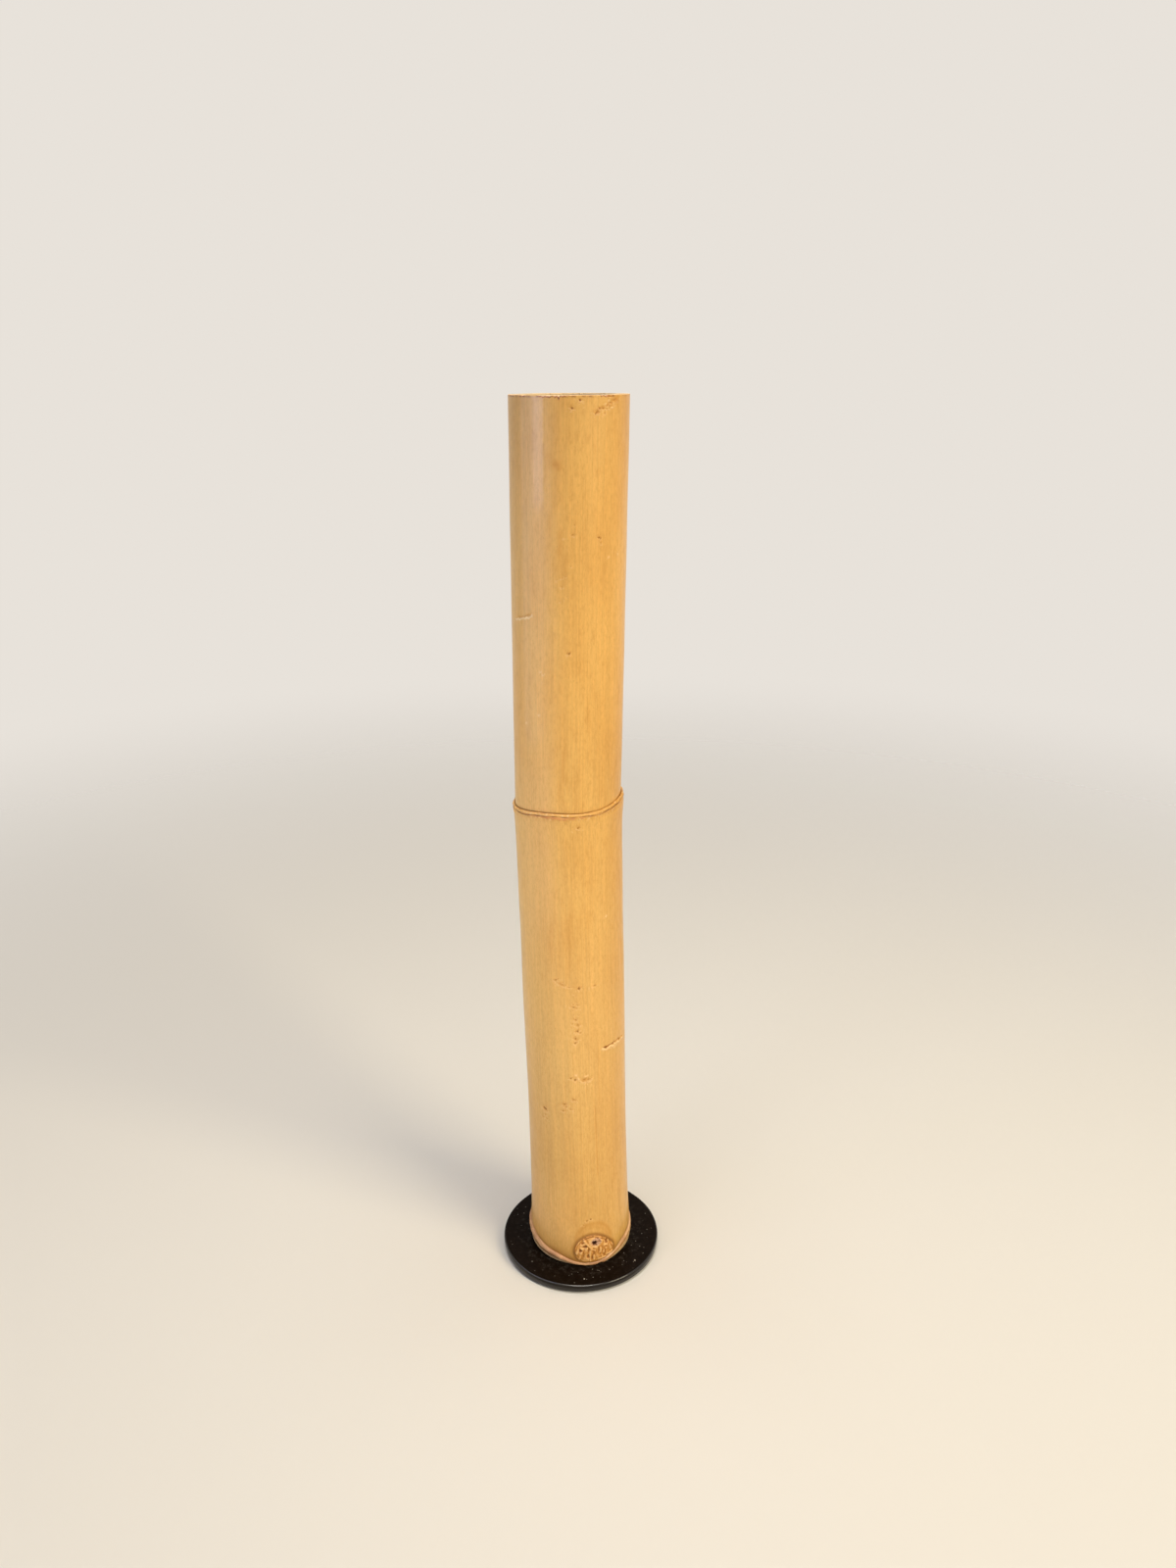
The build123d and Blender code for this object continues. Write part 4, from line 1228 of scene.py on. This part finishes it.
def black_felt():
    """Pressed black wool felt: matted fibres with a soft sheen."""
    paint = Paint("black_felt", Sheen_Weight=0.4, Sheen_Roughness=0.5)
    place = paint.millimetres()
    fibres = paint.noise(place, scale=2.2, detail=4, rough=0.7, warp=2.5)
    clouds = paint.noise(place, scale=0.15)
    wool = paint.tint((0.006, 0.006, 0.006), (0.03, 0.029, 0.028), (fibres, 0.3, 0.7))
    paint.bump(fibres, 0.0004, 0.8)
    return paint.use(Base_Color=wool, Roughness=paint.span(clouds, 0.3, 0.7, 0.85, 1))


# Stage, light and camera
def floor():
    """A pale floor that fades into the background with distance, so that no horizon shows."""
    paint = Paint("floor", Specular_IOR_Level=0.3)
    place = paint.object_place()
    clouds = paint.noise(place, scale=3)
    pale = paint.mix(clouds, FLOOR_COLOUR, tuple(1.01 * channel for channel in FLOOR_COLOUR))
    fade = paint.span(paint.length(place), *FLOOR_FADE, 1, 0)
    paint.use(Base_Color=pale, Roughness=0.6, Alpha=fade)
    made = bmesh.new()
    bmesh.ops.create_circle(made, cap_ends=True, segments=96, radius=FLOOR_FADE[1])
    mesh = bpy.data.meshes.new("floor")
    made.to_mesh(mesh)
    made.free()
    mesh.materials.append(paint.material)
    piece = linked("floor", mesh)


def world():
    """Even light from all round; the camera and reflections see the floor's colour instead."""
    made = bpy.data.worlds.new("studio")
    made.use_nodes = True
    nodes = Nodes(made.node_tree)
    light = nodes.tree.nodes["Background"]
    nodes.fill(light, (0.92, 0.95, 1.0, 1), WORLD_LIGHT)
    shown = nodes.add("Background", Color=(*FLOOR_COLOUR, 1), Strength=1.0)
    rays = nodes.add("LightPath").outputs
    seen = nodes.math("MAXIMUM", rays["Is Camera Ray"], rays["Is Glossy Ray"])
    seen = nodes.math("MAXIMUM", seen, rays["Is Transmission Ray"])
    pick = nodes.fill(nodes.add("MixShader"), seen, light.outputs[0], shown.outputs[0])
    nodes.put(nodes.tree.nodes["World Output"].inputs["Surface"], pick)
    bpy.context.scene.world = made


def lamp(name, place, target, size, power, colour, spread=180.0, reflected=True, lights=True):
    """A rectangular lamp, hidden from the camera, which may skip reflections or only be reflected."""
    data = bpy.data.lights.new(name, "AREA")
    data.shape = "RECTANGLE"
    data.size, data.size_y = size
    data.energy = power
    data.color = colour
    data.spread = radians(spread)
    piece = linked(name, data)
    piece.location = place
    piece.rotation_euler = (Vector(target) - Vector(place)).to_track_quat("-Z", "Y").to_euler()
    piece.visible_camera = False
    piece.visible_glossy = reflected
    piece.visible_diffuse = lights


def camera():
    """The camera that the photograph's perspective was fitted with."""
    pitch, yaw, roll = (radians(angle) for angle in (CAMERA_PITCH, CAMERA_YAW, CAMERA_ROLL))
    ahead = Vector((sin(yaw) * cos(pitch), cos(yaw) * cos(pitch), -sin(pitch)))
    level_right = ahead.cross(Vector((0, 0, 1))).normalized()
    level_up = level_right.cross(ahead)
    right = cos(roll) * level_right + sin(roll) * level_up
    up = cos(roll) * level_up - sin(roll) * level_right
    data = bpy.data.cameras.new("camera")
    data.sensor_fit = "AUTO"
    data.sensor_width = SENSOR
    data.lens = SENSOR * FOCAL_PIXELS / IMAGE_HEIGHT
    data.clip_start = 0.01
    piece = linked("camera", data)
    turn = Matrix((right, up, -ahead)).transposed().to_4x4()
    piece.matrix_world = Matrix.Translation(CAMERA_PLACE) @ turn
    bpy.context.scene.camera = piece


# The object
culm_skin = bamboo()
scar_face = scar_wood()
culm_pieces = [
    upper_culm(culm_skin),
    lower_culm(culm_skin),
    foot_lip(sheath()),
    branch_scar("scar_foot", FOOT_SCAR, LOWER_OUTSIDE, 101, scar_face),
    branch_scar("scar_node", NODE_SCAR, UPPER_OUTSIDE, 131, scar_face),
]
for piece in culm_pieces:
    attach(piece, "vase")
    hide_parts("bamboo_culm")

pad = felt_disc(black_felt())
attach(pad, "vase")
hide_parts("felt_pad")

finishes = {
    "base_plate": coated_steel(),
    "water_liner": liner_plastic(),
    "foot_plug": plug_wood(),
    "base_screws": zinc_steel(),
}
for name, finish in finishes.items():
    for slot in frame["nodes"][name].material_slots:
        slot.material = finish

# The studio
bpy.context.scene.view_settings.view_transform = "Standard"
floor()
world()
lamp("key", (1.895, -1.481, 1.45), (0, 0, 0.3), (1.2, 1.2), 16.2, (1.0, 0.88, 0.61), spread=100.0)
lamp("overhead", (0, -0.1, 2.5), (0, 0, 0), (1.1, 1.1), 30.0, (1.0, 0.95, 0.86))
lamp("side", (-1.12, -0.43, 0.9), (0, 0, 0.5), (0.32, 0.95), 0.8, (0.40, 0.52, 1.0))
lamp("strip", (-0.344, -0.105, 0.6), (0, 0, 0.6), (0.336, 0.54), 1.65, (0.48, 0.53, 0.68), lights=False)
lamp("strip_top", (-0.305, -0.191, 0.78), (0, 0, 0.78), (0.127, 0.45), 0.9, (0.40, 0.50, 0.86),
     lights=False)
lamp("front", (0, -0.6, 1.4), (0, 0, 0), (0.5, 0.3), 14.0, (1.0, 0.95, 0.85), lights=False)
lamp("fill", (-1.1, -1.2, 0.3), (0, 0, 0.3), (0.8, 0.4), 0.72, (0.77, 0.84, 1.0), spread=30.0,
     reflected=False)
camera()
